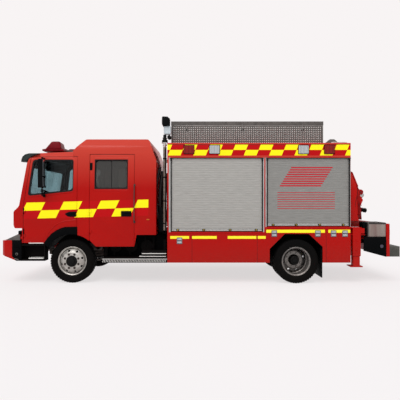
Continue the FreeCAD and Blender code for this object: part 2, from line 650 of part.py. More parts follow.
def cab_shell(hull):
    inner = cab_hull("cab_inner", "cab_wall", cab_inner_outline())
    under = block("under_floor", at("-nose-10"), at("raised_front+20"), "-(cab_half-cab_wall)",
                  "cab_half-cab_wall", "sill_z-80", "nose_bottom_z")
    under_rear = block("under_floor_rear", at("raised_front+10"), at("cab_rear+10"),
                       "-(cab_half-cab_wall)", "cab_half-cab_wall", "sill_z-80", "cab_rear_z")
    tunnel_hole = block("tunnel_hole", at("-tunnel_front+tunnel_wall"), at("tunnel_rear-tunnel_wall"),
                        "-tunnel_half+tunnel_wall", "tunnel_half-tunnel_wall", "sill_z",
                        "tunnel_top-tunnel_wall")
    tunnel = prism("tunnel", "XZ", [
        (at("-tunnel_front"), "nose_bottom_z"), (at("-tunnel_front"), "tunnel_top"),
        (at("tunnel_rear"), "tunnel_top"), (at("tunnel_rear"), "cab_rear_z"),
        (at("raised_front+10"), "cab_rear_z"), (at("raised_front+10"), "nose_bottom_z"),
    ], "-tunnel_half", "tunnel_half")
    screen = block("screen_hole", at("-nose"), at("-roof_front+10"), "-screen_half", "screen_half",
                   "screen_low_z", "screen_high_z")
    doors = both("door_holes", side_prism("door_hole", door_outline("clearance")))
    crew = both("crew_holes", side_prism("crew_hole", crew_outline("clearance")))
    lug = block("lug_block", at("-pivot_x-pivot_radius+2"), at("-pivot_x+pivot_radius-2"),
                "-rail_outer+rail_flange+2", "-rail_outer+rail_flange+pivot_lug-2", "pivot_z",
                "nose_bottom_z+20")
    eye = rod("lug_eye", "y", "pivot_radius-2", "pivot_lug-4", at("-pivot_x"),
              "-rail_outer+rail_flange+2", "pivot_z")
    bore = rod("lug_bore", "y", "pivot_pin+fit", "2*rail_outer", at("-pivot_x"), "-rail_outer",
               "pivot_z")
    body = cut("cab_hollow", hull, fuse("cab_air", [inner, under, under_rear]))
    hinges = [hinge_half(f"cab_hinge_{i}", back, z, -1) for i, (back, z) in enumerate(HINGES)]
    body = fuse("cab_solid", [body, tunnel, both("lugs", fuse("lug", [lug, eye])),
                              both("cab_hinges", fuse("cab_hinge_set", hinges))])
    return cut("cab_open", body, fuse("cab_cutters", [tunnel_hole, screen, doors, crew, bore]))


def door(name, hull, outline, window, hinges):
    """A door leaf: the cab's wall inside its outline, with its window cut, and two hinge halves."""
    leaf = common(f"{name}_leaf", hull, side_prism(f"{name}_blank", outline("0")))
    skin = common(f"{name}_skin", leaf, wall_band(f"{name}_band", "-5", "cab_wall-5"))
    leaf = cut(f"{name}_cut", skin, side_prism(f"{name}_light", window("0")))
    halves = [hinge_half(f"{name}_hinge_{i}", back, z, 1) for i, (back, z) in enumerate(hinges)]
    return fuse(f"{name}_all", [leaf] + halves)


def pane(name, hull, window):
    band = wall_band(f"{name}_band", "pane_inset", "pane_inset+pane")
    return common(name, band, side_prism(f"{name}_blank", window("-fit")))


def windscreen():
    """A slanted sheet inside the windscreen opening."""
    lean = "(screen_base-screen_top)/(screen_top_z-screen_base_z-30)"
    low = f"(screen_low_z+fit-screen_base_z-30)*{lean}"
    high = f"(screen_high_z-fit-screen_base_z-30)*{lean}"
    base = f"{AXLE1}-screen_base+pane_inset"
    return prism("windscreen", "XZ", [
        (f"{base}+{low}", "screen_low_z+fit"), (f"{base}+{high}", "screen_high_z-fit"),
        (f"{base}+{high}+pane", "screen_high_z-fit"), (f"{base}+{low}+pane", "screen_low_z+fit"),
    ], "-screen_half+fit", "screen_half-fit")


def seat(name, x, y0, y1):
    """A cushion on its box and a leaning back."""
    base = block(f"{name}_base", f"{x}+40", f"{x}+seat_depth-40", f"{y0}+30", f"{y1}-30",
                 "floor_z", "seat_z-seat_pad")
    cushion = block(f"{name}_cushion", x, f"{x}+seat_depth", y0, y1, "seat_z-seat_pad", "seat_z")
    back = prism(f"{name}_back", "XZ", [
        (f"{x}+seat_depth", "seat_z-seat_pad"), (f"{x}+seat_depth+100", "seat_z-seat_pad"),
        (f"{x}+seat_depth+200", "seat_z+seat_back"), (f"{x}+seat_depth+110", "seat_z+seat_back"),
    ], y0, y1)
    return fuse(f"{name}_seat", [base, cushion, back])


def seats():
    half = "seat_width/2"
    driver = seat("driver", at("-500"), f"-seat_y-{half}", f"-seat_y+{half}")
    mate = seat("mate", at("-500"), f"seat_y-{half}", f"seat_y+{half}")
    base = block("bench_base", at("bench_rear-540"), at("bench_rear-60"), "-940", "940",
                 "cab_rear_z+floor_plate", "1250")
    cushion = block("bench_cushion", at("bench_rear-560"), at("bench_rear-60"), "-980", "980", "1250",
                    "1380")
    back = block("bench_back", at("bench_rear-60"), at("bench_rear+40"), "-980", "980", "1250", "2000")
    return fuse("seats_all", [driver, mate, base, cushion, back])


def dashboard():
    front = at("-screen_base+cab_wall")
    slab = prism("dash", "XZ", [
        (front, "dash_low"), (front, "screen_base_z"), (f"{front}+60", "dash_top-70"),
        (f"{front}+dash_depth*0.8", "dash_top", "20"), (f"{front}+dash_depth", "dash_top-60", "20"),
        (f"{front}+dash_depth-80", "dash_low"),
    ], "-cab_half+cab_wall+40", "cab_half-cab_wall-40")
    column = rod("steering_column", "z", "26", "300", at("-steer_x"), "-seat_y", "steer_z")
    column.Placement = FreeCAD.Placement(V(), FreeCAD.Rotation(V(0, 1, 0), 215))
    place(column, at("-steer_x-(36+fit)*sin(35)"), "-seat_y", "steer_z-(36+fit)*cos(35)")
    return fuse("dashboard_all", [slab, column])


def steering_wheel():
    """Rim, boss and three spokes, leaning back towards the driver."""
    ring = doc.addObject("Part::Torus", "steer_ring")
    bind(ring, Radius1="steer_radius", Radius2="steer_rim")
    boss = rod("steer_boss", "z", "52", "36", "0", "0", "-36")
    parts = [ring, boss]
    for i in range(3):
        spoke = block(f"steer_spoke_{i}", "40", "steer_radius", "-14", "14", "-12", "4")
        spoke.Placement = FreeCAD.Placement(V(), FreeCAD.Rotation(V(0, 0, 1), 120 * i + 180))
        bind(spoke, Placement__Base__x=f"40*cos({120 * i + 180})+14*sin({120 * i + 180})",
             Placement__Base__y=f"40*sin({120 * i + 180})-14*cos({120 * i + 180})")
        parts.append(spoke)
    wheel = fuse("steer_all", parts)
    wheel.Placement = FreeCAD.Placement(V(), FreeCAD.Rotation(V(0, 1, 0), 35))
    return place(wheel, at("-steer_x"), "-seat_y", "steer_z")


def front_grille():
    return block("grille_panel", at("-nose-15"), at("-nose"), "-850", "850", "nose_bottom_z+100",
                 "nose_top_z-90")


def sun_visor():
    lean = "(screen_top-roof_front)/(roof_front_z-screen_top_z)"
    z0 = "screen_top_z+132"
    z1 = "screen_top_z+160"
    return prism("visor", "XZ", [
        (at(f"-screen_top+132*{lean}"), z0), (at("-screen_top-116"), "screen_top_z+24"),
        (at("-screen_top-122"), "screen_top_z+46"), (at(f"-screen_top+160*{lean}"), z1),
    ], "-visor_half", "visor_half")


def light_bar(hull):
    low = "low_roof_z+30"
    plan = prism("bar_plan", "XY", [
        (at("-600"), "-bar_half", "60"), (at("-700"), "-300", "80"), (at("-700"), "300", "80"),
        (at("-600"), "bar_half", "60"), (at("-210"), "bar_half", "60"), (at("-330"), "300", "80"),
        (at("-330"), "-300", "80"), (at("-210"), "-bar_half", "60"),
    ], low, "bar_top")
    foot = block("bar_foot", at("-480"), at("-340"), "-700", "-560", "low_roof_z-32", low)
    return cut("light_bar_cut", fuse("light_bar_all", [plan, both("bar_feet", foot)]), hull)


def mirror_head(hull):
    """Tall mirror head on a tube arm that bolts to the door at two places."""
    y = "-cab_half-mirror_width-40"
    head = prism("mirror_case", "XZ", [
        (at("-545"), "mirror_top-mirror_height", "20"), (at("-545"), "mirror_top", "20"),
        (at("-545+mirror_depth"), "mirror_top", "20"),
        (at("-545+mirror_depth"), "mirror_top-mirror_height", "20"),
    ], y, f"{y}+mirror_width")
    x = at("-520")
    arm = rod("mirror_arm", "z", "13", "mirror_height+190", x, f"{y}+mirror_width-40",
              "mirror_top-mirror_height-150")
    low = rod("mirror_low_arm", "y", "13", "100", x, f"{y}+mirror_width-50",
              "mirror_top-mirror_height-140")
    high = rod("mirror_high_arm", "y", "13", "cab_half-upper_half+108", x, f"{y}+mirror_width-50",
               "mirror_top+30")
    return cut("mirror_cut", fuse("mirror_all", [head, arm, low, high]), hull)


# ---------------------------------------------------------------- body and roof lockers

def arch_outline():
    return [
        (ARCH_FRONT, "body_bottom-10"), (ARCH_FRONT, "rear_arch_front_z"),
        (f"{AXLE2}-rear_arch_flat", "tyre_radius+rear_arch_over"),
        (f"{AXLE2}+rear_arch_flat", "tyre_radius+rear_arch_over"),
        (ARCH_REAR, "rear_arch_rear_z"), (ARCH_REAR, "body_bottom-10"),
    ]


def body_shell():
    """A hollow box of lockers, open behind its shutters, on two floors, with closed skirts."""
    half = "body_half"
    wall = "body_wall"
    shell = block("body_box", BODY_X, BODY_END, f"-{half}", half, "rail_top", "body_top")
    depth = f"({half}-curtain_inset-curtain_thick-8)"
    top = f"body_top-{wall}"
    air = []
    for i, (x0, x1, floor) in enumerate(((OPEN1, OPEN1_END, "floor_top"),
                                         (OPEN2, OPEN2_END, "rear_floor_top"))):
        air.append(block(f"locker_space_{i}", x0, x1, f"-{half}-5", f"{half}+5", floor, "opening_top"))
        air.append(block(f"header_space_{i}", x0, x1, f"-({half}-{wall}+26)", f"{half}-{wall}+26",
                         "opening_top-5", top))
    shell = cut("body_hollow", shell, fuse("body_air", air))
    drums = []
    for i, (x0, x1) in enumerate(((OPEN1, OPEN1_END), (OPEN2, OPEN2_END))):
        drums.append(rod(f"roller_{i}", "x", "drum_tube", f"({x1})-({x0})", x0, "-body_half+230",
                         f"{top}-drum_tube-20"))
    skirt = block("skirt_front", BODY_X, BODY_END, f"-{half}", "-skirt_inner", "body_bottom",
                  "rail_top+10")
    arch = prism("arch", "XZ", arch_outline(), f"-{half}-20", "-skirt_inner+30")
    parts = [shell, both("rollers", fuse("roller_pair", drums)), both("skirts", skirt)]
    return cut("body_all", fuse("body_sum", parts), both("arches", arch))


def shutter_bar(x0, x1, floor, tag):
    """The rigid bar at a shutter's foot."""
    return block(f"bar_{tag}", f"{x0}+fit", f"{x1}-fit", "-body_half+curtain_inset-12",
                 "-body_half+curtain_inset+curtain_thick+4", f"{floor}+1", f"{floor}+1+bar_height")


def curtain(x0, x1, floor, tag):
    """The slatted curtain between its bar and its roller."""
    return block(f"curtain_{tag}", f"{x0}+fit", f"{x1}-fit", "-body_half+curtain_inset",
                 "-body_half+curtain_inset+curtain_thick", f"{floor}+1+bar_height",
                 "opening_top+curtain_hidden")


def lockers():
    x0 = f"{BODY_X}+locker_front"
    x1 = f"{BODY_END}-locker_tail"
    top = "body_top+locker_height"
    outer = block("roof_box", x0, x1, "-locker_out", "-locker_in", "body_top", top)
    space = block("roof_box_space", f"{x0}+locker_wall", f"{x1}-locker_wall",
                  "-locker_out+locker_wall", "-locker_in-locker_wall", "body_top+locker_wall",
                  f"{top}+5")
    rear = block("rear_box", f"{BULKHEAD_X}-box_gap-box_depth", f"{BULKHEAD_X}-box_gap", "-box_out",
                 "-box_in", "deck_high", "box_top")
    left = [cut("roof_box_open", outer, space), rear]
    right = [mirror(f"locker_right_{i}", part) for i, part in enumerate(left)]
    return fuse("lockers_all", left + right)


def roof_lid():
    """A tread-plate lid that laps over its locker's rim."""
    x0 = f"{BODY_X}+locker_front-lid_lip"
    x1 = f"{BODY_END}-locker_tail+lid_lip"
    top = "body_top+locker_height"
    outer = block("lid_outer", x0, x1, "-locker_out-lid_lip", "-locker_in+lid_lip", f"{top}-lid_height+20",
                  f"{top}+20")
    inner = block("lid_inner", f"{x0}+locker_wall", f"{x1}-locker_wall",
                  "-locker_out-lid_lip+locker_wall", "-locker_in+lid_lip-locker_wall",
                  f"{top}-lid_height+10", f"{top}+fit")
    return cut("lid_cut", outer, inner)


# ---------------------------------------------------------------- front, steps, guards

def front_bumper():
    rear = BUMPER_X
    nose = f"{FRONT}+deck_nose"
    back = f"{FRONT}+deck_rear"
    corner = f"{FRONT}+bumper_corner"
    side = prism("bumper_side", "XZ", [
        (FRONT, "bumper_nose_low", "30"), (FRONT, "bumper_top", "20"), (nose, "bumper_top+2"),
        (nose, "deck_nose_z"), (back, "deck_rear_z"), (rear, "deck_rear_z"),
        (rear, "bumper_low"), (f"{rear}-70", "bumper_low"),
    ], "-bumper_half", "bumper_half")
    plan = prism("bumper_plan", "XY", [
        (FRONT, "-bumper_half+295", "60"), (corner, "-bumper_half+45", "40"),
        (f"{corner}+60", "-bumper_half"),
        (rear, "-bumper_half"), (rear, "bumper_half"), (f"{corner}+60", "bumper_half"),
        (corner, "bumper_half-45", "40"), (FRONT, "bumper_half-295", "60"),
    ], "bumper_low-10", "deck_rear_z+10")
    solid = common("bumper_solid", side, plan)
    space = block("bumper_space", f"{FRONT}+bumper_wall+40", f"{rear}+5", "-bumper_half+bumper_wall",
                  "bumper_half-bumper_wall", "bumper_low+140", "bumper_top-bumper_wall+30")
    horn = block("bumper_horn", rear, f"{FRONT}+rail_front", "-rail_outer", "-rail_outer+rail_flange",
                 "rail_bottom", "bumper_top")
    fog = block("fog_recess", f"{FRONT}-5", f"{FRONT}+22", "-860-fit", "-640+fit", "620-fit", "700+fit")
    spaces = fuse("bumper_spaces", [space, both("fog_recesses", fog)])
    return fuse("bumper_all", [cut("bumper_hollow", solid, spaces), both("horns", horn)])


def side_steps():
    x0 = f"{BUMPER_X}+step_front"
    x1 = f"{AXLE1}-tyre_radius-step_back"
    walk = f"{AXLE1}+side_step_front"
    walk_end = f"{BODY_X}-side_step_rear"
    out = "-cab_half"
    inn = "-step_inner"
    parts = [
        block("cab_step_back", x0, x1, f"{inn}-14", inn, "step_low", "step_high"),
        block("cab_step_front", x0, f"{x0}+16", out, inn, "step_low", "step_high"),
        block("cab_step_rear", f"{x1}-16", x1, out, inn, "step_low", "step_high"),
        block("cab_tread_low", x0, x1, out, inn, "step_low", "step_low+tread"),
        block("cab_tread_high", x0, x1, out, inn, "step_high-tread", "step_high"),
        block("cab_step_arm", f"{x0}+80", f"{x0}+150", f"{inn}", "-rail_outer", "rail_bottom+4",
              "step_high"),
        block("side_step", walk, walk_end, "-cab_half", "-side_step_inner", "side_step_low",
              "side_step_high"),
        block("side_bar", f"{walk_end}-480", f"{walk_end}-20", "-cab_half", "-cab_half+60",
              "bar_low", "bar_high"),
    ]
    for i, x in enumerate((f"{walk}+10", f"{walk_end}-90")):
        parts.append(block(f"step_post_{i}", x, f"{x}+50", "-side_step_inner-110", "-side_step_inner-40",
                           "side_step_high-2", "tank_high-120"))
        parts.append(block(f"step_arm_{i}", x, f"{x}+50", "-side_step_inner-110", "-rail_outer",
                           "tank_high-120", "tank_high-60"))
    for i, x in enumerate((f"{walk_end}-470", f"{walk_end}-80")):
        parts.append(block(f"bar_post_{i}", x, f"{x}+40", "-cab_half+20", "-cab_half+60",
                           "side_step_high-2", "bar_low+2"))
    return both("side_steps_all", fuse("steps_left", parts))


def mudguards():
    """Arched guards over the front tyres and flaps behind the twin wheels."""
    radius = "(tyre_radius+guard_gap+guard_thick)"
    outer = rod("guard_outer_disc", "y", radius, "260", AXLE1, "-1105", "tyre_radius")
    inner = rod("guard_inner_disc", "y", f"{radius}-guard_thick", "280", AXLE1, "-1115",
                "tyre_radius")
    arch = cut("guard_ring", outer, inner)
    keep = block("guard_keep", f"{AXLE1}-{radius}", f"{AXLE1}+{radius}", "-1200", "-800",
                 "tyre_radius+215", f"tyre_radius+{radius}+5")
    guard = common("guard_arch", arch, keep)
    arm = block("guard_arm", f"{AXLE1}-30", f"{AXLE1}+30", "-860", "-rail_outer+40",
                f"tyre_radius+{radius}-29", f"tyre_radius+{radius}-8")
    flap = block("flap", f"{ARCH_REAR}-flap_thick", ARCH_REAR, "-1180", "-650", "flap_low",
                 "flap_high")
    return both("mudguards_all", fuse("guard_left", [guard, arm, flap]))


# ---------------------------------------------------------------- mast, pipes, lamps

def mast_post():
    tube = rod("mast_tube_outer", "z", "mast_outer", "mast_high-mast_low", MAST_X, "-mast_y",
               "mast_low")
    bore = rod("mast_bore", "z", "mast_inner+fit", "mast_high-mast_low", MAST_X, "-mast_y",
               "mast_low+20")
    parts = [cut("mast_post_tube", tube, bore)]
    for i, z in enumerate(("mast_low+100", "mast_high-300")):
        clip = block(f"mast_clip_{i}", f"{MAST_X}+mast_outer-6", BODY_X, "-mast_y-30", "-mast_y+30", z,
                     f"{z}+60")
        parts.append(clip)
    return fuse("mast_post_all", parts)


def mast_tube():
    tube = rod("mast_inner_tube", "z", "mast_inner", "mast_high+70-mast_low-30", MAST_X,
               "-mast_y", "mast_low+30")
    collar = rod("mast_collar", "z", "mast_outer+6", "30", MAST_X, "-mast_y", "mast_high+20")
    plate = rod("mast_plate", "z", "60", "14", MAST_X, "-mast_y", "mast_high+70")
    return fuse("mast_tube_all", [tube, collar, plate])


def mast_lamps():
    """Swivel body with a lamp head on its front."""
    z = "mast_high+84"
    swivel = rod("mast_swivel", "z", "56", "162", MAST_X, "-mast_y", z)
    case = block("mast_case", f"{MAST_X}-20", f"{MAST_X}+122", "-mast_y-62", "-mast_y+62", f"{z}+158",
                 f"{z}+318")
    head = block("mast_head", f"{MAST_X}-66", f"{MAST_X}+86", "-mast_y-106", "-mast_y+106",
                 f"{z}+316", f"{z}+486")
    return fuse("mast_lamps_all", [swivel, case, head])


def intake_stack():
    """Air intake duct and two upright pipes in the gap behind the cab."""
    duct = block("intake_duct", f"{BODY_X}-197", f"{BODY_X}-37", "-830", "-610", "stack_low",
                 "stack_high")
    cap = block("intake_cap", f"{BODY_X}-200", f"{BODY_X}-25", "-850", "-590", "stack_high",
                "stack_high+90")
    parts = [duct, cap]
    for i, y in enumerate(("-500", "520")):
        parts.append(rod(f"pipe_{i}", "z", "pipe_radius", "stack_high-rail_top-40",
                         f"{BODY_X}-115", y, "rail_top+40"))
    parts.append(block("pipe_foot", f"{BODY_X}-175", f"{BODY_X}-55", "-840", "560", "rail_top",
                       "rail_top+40"))
    return fuse("intake_all", parts)


def lamps():
    """Head, fog, marker, warning and tail lamps, each proud of what carries it."""
    parts = []
    out = "-body_half"
    for i, x in enumerate((f"{BODY_X}+305", f"{BODY_X}+785", f"{BODY_END}-988", f"{BODY_END}-503")):
        parts.append(block(f"warning_{i}", x, f"{x}+lamp_width", f"{out}-lamp_depth", out,
                           "lamp_low", "lamp_high"))
    markers = ((f"{BODY_X}+230", "752"), (f"{AXLE2}-425", "887"), (f"{AXLE2}+395", "887"),
               (f"{AXLE2}+690", "887"), (f"{AXLE2}+905", "887"))
    for i, (x, z) in enumerate(markers):
        parts.append(block(f"marker_{i}", f"{x}-marker_width/2", f"{x}+marker_width/2",
                           f"{out}-lamp_depth/2", out, z, f"{z}+marker_height"))
    parts.append(block("headlamp", f"{FRONT}+deck_rear-10", BUMPER_X, "-bumper_half+25",
                       "-bumper_half+475", "deck_rear_z", "deck_rear_z+72"))
    parts.append(block("fog_lamp", f"{FRONT}+2", f"{FRONT}+22", "-860", "-640", "620", "700"))
    parts.append(block("tail_lamp", f"{BULKHEAD_X}+bulkhead", f"{BULKHEAD_X}+bulkhead+lamp_depth",
                       "-1120", "-820", "bulkhead_high-220", "bulkhead_high-110"))
    parts.append(block("rear_warning", BODY_END, f"{BODY_END}+6", "-1100", "-860", "lamp_low",
                       "lamp_high"))
    return both("lamps_all", fuse("lamps_left", parts))


# ---------------------------------------------------------------- rear end and crane

def crane_base():
    """Pedestal, cross beam and the two outrigger housings."""
    x1 = f"{BEAM_X}+beam_depth"
    beam = block("cross_beam", BEAM_X, x1, "-leg_y", "leg_y", "rail_rear_cut", "beam_high")
    half = "leg_outer/2"
    mid = f"({BEAM_X}+beam_depth/2)"
    tube = block("leg_tube", f"{mid}-{half}", f"{mid}+{half}", f"-leg_y-{half}", f"-leg_y+{half}",
                 "leg_low", "leg_top")
    hole = block("leg_hole", f"{mid}-leg_inner/2-fit", f"{mid}+leg_inner/2+fit",
                 "-leg_y-leg_inner/2-fit", "-leg_y+leg_inner/2+fit", "leg_low-10", "leg_top-12")
    pedestal = block("pedestal", f"{CRANE_X}-145", f"{CRANE_X}+190", "-240", "240", "rail_rear_cut",
                     "pedestal_top-30")
    ring = rod("slew_ring", "z", "column_radius+40", "30", CRANE_X, "0", "pedestal_top-30")
    solid = fuse("crane_base_sum", [beam, both("leg_tubes", tube), pedestal, ring])
    return cut("crane_base_cut", solid, both("leg_holes", hole))


def outrigger_leg():
    mid = f"({BEAM_X}+beam_depth/2)"
    post = block("leg_post", f"{mid}-leg_inner/2", f"{mid}+leg_inner/2", "-leg_y-leg_inner/2",
                 "-leg_y+leg_inner/2", "foot_z+foot_plate", "leg_top-30")
    foot = block("leg_foot", f"{mid}-foot_size/2", f"{mid}+foot_size/2", "-leg_y-74",
                 "-leg_y+foot_size-74", "foot_z", "foot_z+foot_plate")
    return fuse("leg_all", [post, foot])


def crane_column():
    top = "boom_z-column_drop"
    post = rod("column_post", "z", "column_radius", f"{top}-pedestal_top-fit", CRANE_X, "0",
               "pedestal_top+fit")
    cheeks = []
    for i, side in enumerate(("-boom_half-34", "boom_half+6")):
        cheeks.append(prism(f"cheek_{i}", "YZ", [
            ("-70", f"{top}-40"), ("80", f"{top}-40"), ("boom_tail", "boom_z-20"),
            ("boom_tail", "boom_z+50", "30"), ("-20", "boom_z+50", "30"),
        ], f"{CRANE_X}+{side}", f"{CRANE_X}+{side}+28"))
    pin = rod("luff_pin", "x", "boom_pin", "2*boom_half+40", f"{CRANE_X}-boom_half-20", "boom_pin_y",
              "boom_z")
    return fuse("column_all", [post, pin] + cheeks)


def crane_boom():
    """Box boom, hinged at its tail between the column's cheeks, open for the extension."""
    outer = block("boom_box", f"{CRANE_X}-boom_half", f"{CRANE_X}+boom_half", "-boom_reach", "boom_tail",
                  "boom_z-boom_height/2", "boom_z+boom_height/2")
    space = block("boom_space", f"{CRANE_X}-boom_half+boom_wall", f"{CRANE_X}+boom_half-boom_wall",
                  "-boom_reach-5", "-20", "boom_z-boom_height/2+boom_wall",
                  "boom_z+boom_height/2-boom_wall")
    bore = rod("boom_bore", "x", "boom_pin+fit", "2*boom_half+20", f"{CRANE_X}-boom_half-10",
               "boom_pin_y", "boom_z")
    return cut("boom_hollow", outer, fuse("boom_air", [space, bore]))


def crane_extension():
    """Inner box with its head plates, sheave and hook block."""
    inset = "(boom_wall+jib_gap)"
    box = block("jib_box", f"{CRANE_X}-boom_half+{inset}", f"{CRANE_X}+boom_half-{inset}",
                "-boom_reach-20", "-120", f"boom_z-boom_height/2+{inset}",
                f"boom_z+boom_height/2-{inset}")
    y = "-boom_reach-20"
    head = prism("jib_head", "XZ", [
        (f"{CRANE_X}-145", "boom_z+560"), (f"{CRANE_X}-130", "boom_z+575"), (f"{CRANE_X}-40", "boom_z+355"),
        (f"{CRANE_X}+55", "boom_z+105"), (f"{CRANE_X}+120", "boom_z+15", "25"),
        (f"{CRANE_X}+50", "boom_z-135"), (f"{CRANE_X}+10", "boom_z-265"), (f"{CRANE_X}+40", "boom_z-380"),
        (f"{CRANE_X}-145", "boom_z-380"),
    ], f"{y}-60", y)
    return fuse("jib_all", [box, head])


def rear_bumper():
    """Red bulkhead across the tail, its deck, the tread step and a pin coupling."""
    plate = block("bulkhead_plate", BULKHEAD_X, f"{BULKHEAD_X}+bulkhead", "-rear_half", "rear_half",
                  "bulkhead_low", "bulkhead_high")
    deck = block("rear_deck", f"{BODY_END}+deck_back", BULKHEAD_X, "-rear_half", "rear_half",
                 "rail_rear_cut", "deck_high")
    hole = block("deck_hole", f"{CRANE_X}-260", f"{CRANE_X}+195", "-260", "260",
                 "rail_rear_cut-5", "deck_high+5")
    step = block("tail_step", f"{BULKHEAD_X}+bulkhead", REAR, "-tail_step_half", "tail_step_half",
                 "tail_step_low", "tail_step_high")
    slot = block("hitch_slot", f"{BULKHEAD_X}+bulkhead+10", f"{REAR}+5", "-hitch_half", "hitch_half",
                 "hitch_z-45", "hitch_z+45")
    pin = rod("hitch_hole", "z", "hitch_bore", "tail_step_high-tail_step_low+20", f"{REAR}-80", "0",
              "tail_step_low-10")
    solid = fuse("rear_solid", [plate, cut("deck_cut", deck, hole), step])
    return cut("rear_all", solid, fuse("hitch_space", [slot, pin]))


def build():
    node("chassis_frame", chassis_frame())
    node("engine", engine())
    node("front_axle", front_axle())
    node("rear_axle", rear_axle())
    node("tanks", tanks())
    node("front_bumper", front_bumper())
    node("lamps", lamps())
    node("side_steps", side_steps())
    node("mudguards", mudguards())
    node("body_shell", body_shell())
    node("lockers", lockers())
    node("intake_stack", intake_stack())
    node("mast_post", mast_post())
    node("mast_tube", mast_tube())
    node("mast_lamps", mast_lamps())
    node("crane_base", crane_base())
    node("rear_bumper", rear_bumper())
    node("crane_column", crane_column())
    node("crane_boom", crane_boom())
    node("crane_extension", crane_extension())
    sides("knuckle", knuckle)
    sides("front_wheel", front_wheel)
    sides("front_tyre", front_tyre)
    sides("rear_wheels", rear_wheels)
    sides("rear_tyres", rear_tyres)
    sides("roof_lid", roof_lid)
    sides("outrigger_leg", outrigger_leg)
    for bay, x0, x1, floor in (("front", OPEN1, OPEN1_END, "floor_top"),
                               ("rear", OPEN2, OPEN2_END, "rear_floor_top")):
        sides(f"{bay}_shutter_bar", lambda: shutter_bar(x0, x1, floor, bay))
        sides(f"{bay}_shutter_curtain", lambda: curtain(x0, x1, floor, bay))
    hull = cab_hull("cab", "0", cab_side_outline())
    node("cab_shell", cab_shell(hull))
    node("cab_glass", windscreen())
    node("seats", seats())
    node("dashboard", dashboard())
    node("steering_wheel", steering_wheel())
    node("front_grille", front_grille())
    node("sun_visor", sun_visor())
    node("light_bar", light_bar(hull))
    sides("front_door", lambda: door("front_door", hull, door_outline, window_outline,
                                     HINGES[:2]))
    sides("crew_door", lambda: door("crew_door", hull, crew_outline, crew_window_outline,
                                    HINGES[2:]))
    sides("front_door_glass", lambda: pane("front_pane", hull, window_outline))
    sides("crew_door_glass", lambda: pane("crew_pane", hull, crew_window_outline))
    sides("mirror", lambda: mirror_head(hull))


def write_parts():
    """Stop on any failed object, then write one STEP file for each sub-part."""
    doc.recompute()
    for item in doc.Objects:
        if "Invalid" in item.State or "Error" in item.State:
            raise RuntimeError(f"{item.Name} did not compute: {item.State}")
    for name, item in nodes.items():
        if item.Shape.isNull() or not item.Shape.isValid():
            raise RuntimeError(f"{name} has no valid shape")
    os.makedirs("parts", exist_ok=True)
    for name, item in nodes.items():
        item.Shape.exportStep(f"parts/{name}.step")
        print(name, len(item.Shape.Solids), round(item.Shape.Volume / 1e6, 2))
    print(len(nodes), "nodes")


fill_sheet()
build()
write_parts()
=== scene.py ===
# %% [markdown]
# # Rescue truck
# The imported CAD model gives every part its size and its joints. This lesson dresses it: real tyres, glass,
# lamps, slatted shutters, tread plate, paint with its chequered band, and the trim that a fire service fits.
# The truck faces -X, its left side is at -Y, and the ground is z = 0. All lengths are in metres.

# %% Load the frame
import json
import math

import bmesh
import bpy
from mathutils import Matrix, Vector


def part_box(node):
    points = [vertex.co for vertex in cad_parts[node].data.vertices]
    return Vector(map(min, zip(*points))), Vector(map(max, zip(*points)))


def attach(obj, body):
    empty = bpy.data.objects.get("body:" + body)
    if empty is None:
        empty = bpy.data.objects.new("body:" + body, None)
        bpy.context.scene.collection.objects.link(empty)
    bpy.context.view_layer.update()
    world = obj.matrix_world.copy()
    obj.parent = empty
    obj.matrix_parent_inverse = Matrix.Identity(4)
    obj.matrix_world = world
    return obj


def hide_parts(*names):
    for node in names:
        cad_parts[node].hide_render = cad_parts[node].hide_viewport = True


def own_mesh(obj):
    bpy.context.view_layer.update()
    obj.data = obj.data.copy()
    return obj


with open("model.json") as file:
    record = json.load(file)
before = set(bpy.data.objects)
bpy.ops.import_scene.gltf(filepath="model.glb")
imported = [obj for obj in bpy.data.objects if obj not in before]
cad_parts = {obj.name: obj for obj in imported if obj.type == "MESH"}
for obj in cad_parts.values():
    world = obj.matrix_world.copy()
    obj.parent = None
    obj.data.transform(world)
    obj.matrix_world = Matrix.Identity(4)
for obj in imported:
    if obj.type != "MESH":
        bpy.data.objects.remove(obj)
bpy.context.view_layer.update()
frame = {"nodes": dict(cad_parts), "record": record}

# %% [markdown]
# ## Small modelling helpers
# Most parts of a truck are folded sheet, castings and tubes, so a few shapes come back all the time: a box with
# broken edges, a rod, a turned profile and an outline with a thickness. Each helper adds its shape to an open
# bmesh, so a piece can be built from many of them and stays one mesh. Bevels matter more than they seem:
# an edge of a millimetre or two catches the light, and a sharp one never does.

# %% Box, rod and outline helpers
SOFT_EDGE = 0.004


def blank(count):
    """Several empty bmeshes at once."""
    return [bmesh.new() for _ in range(count)]


def spaced(count, first, pitch):
    """Evenly spaced places."""
    return [first + number * pitch for number in range(count)]


def box(bm, low, high, edge=SOFT_EDGE, steps=2):
    """A box between two corners, with its edges rounded."""
    low, high = Vector(low), Vector(high)
    verts = bmesh.ops.create_cube(bm, size=1)["verts"]
    bmesh.ops.scale(bm, vec=high - low, verts=verts)
    bmesh.ops.translate(bm, vec=(low + high) / 2, verts=verts)
    if not edge:
        return verts
    edge = min(edge, min(high - low) * 0.45)
    return round_edges(bm, verts, edge, steps)


def bevel(bm, geom, width, steps=2, affect="EDGES"):
    """Round edges or corners with a strip of faces."""
    return bmesh.ops.bevel(bm, geom=geom, offset=width, offset_type="OFFSET", affect=affect, segments=steps,
        profile=0.5, material=-1, clamp_overlap=True)["faces"]


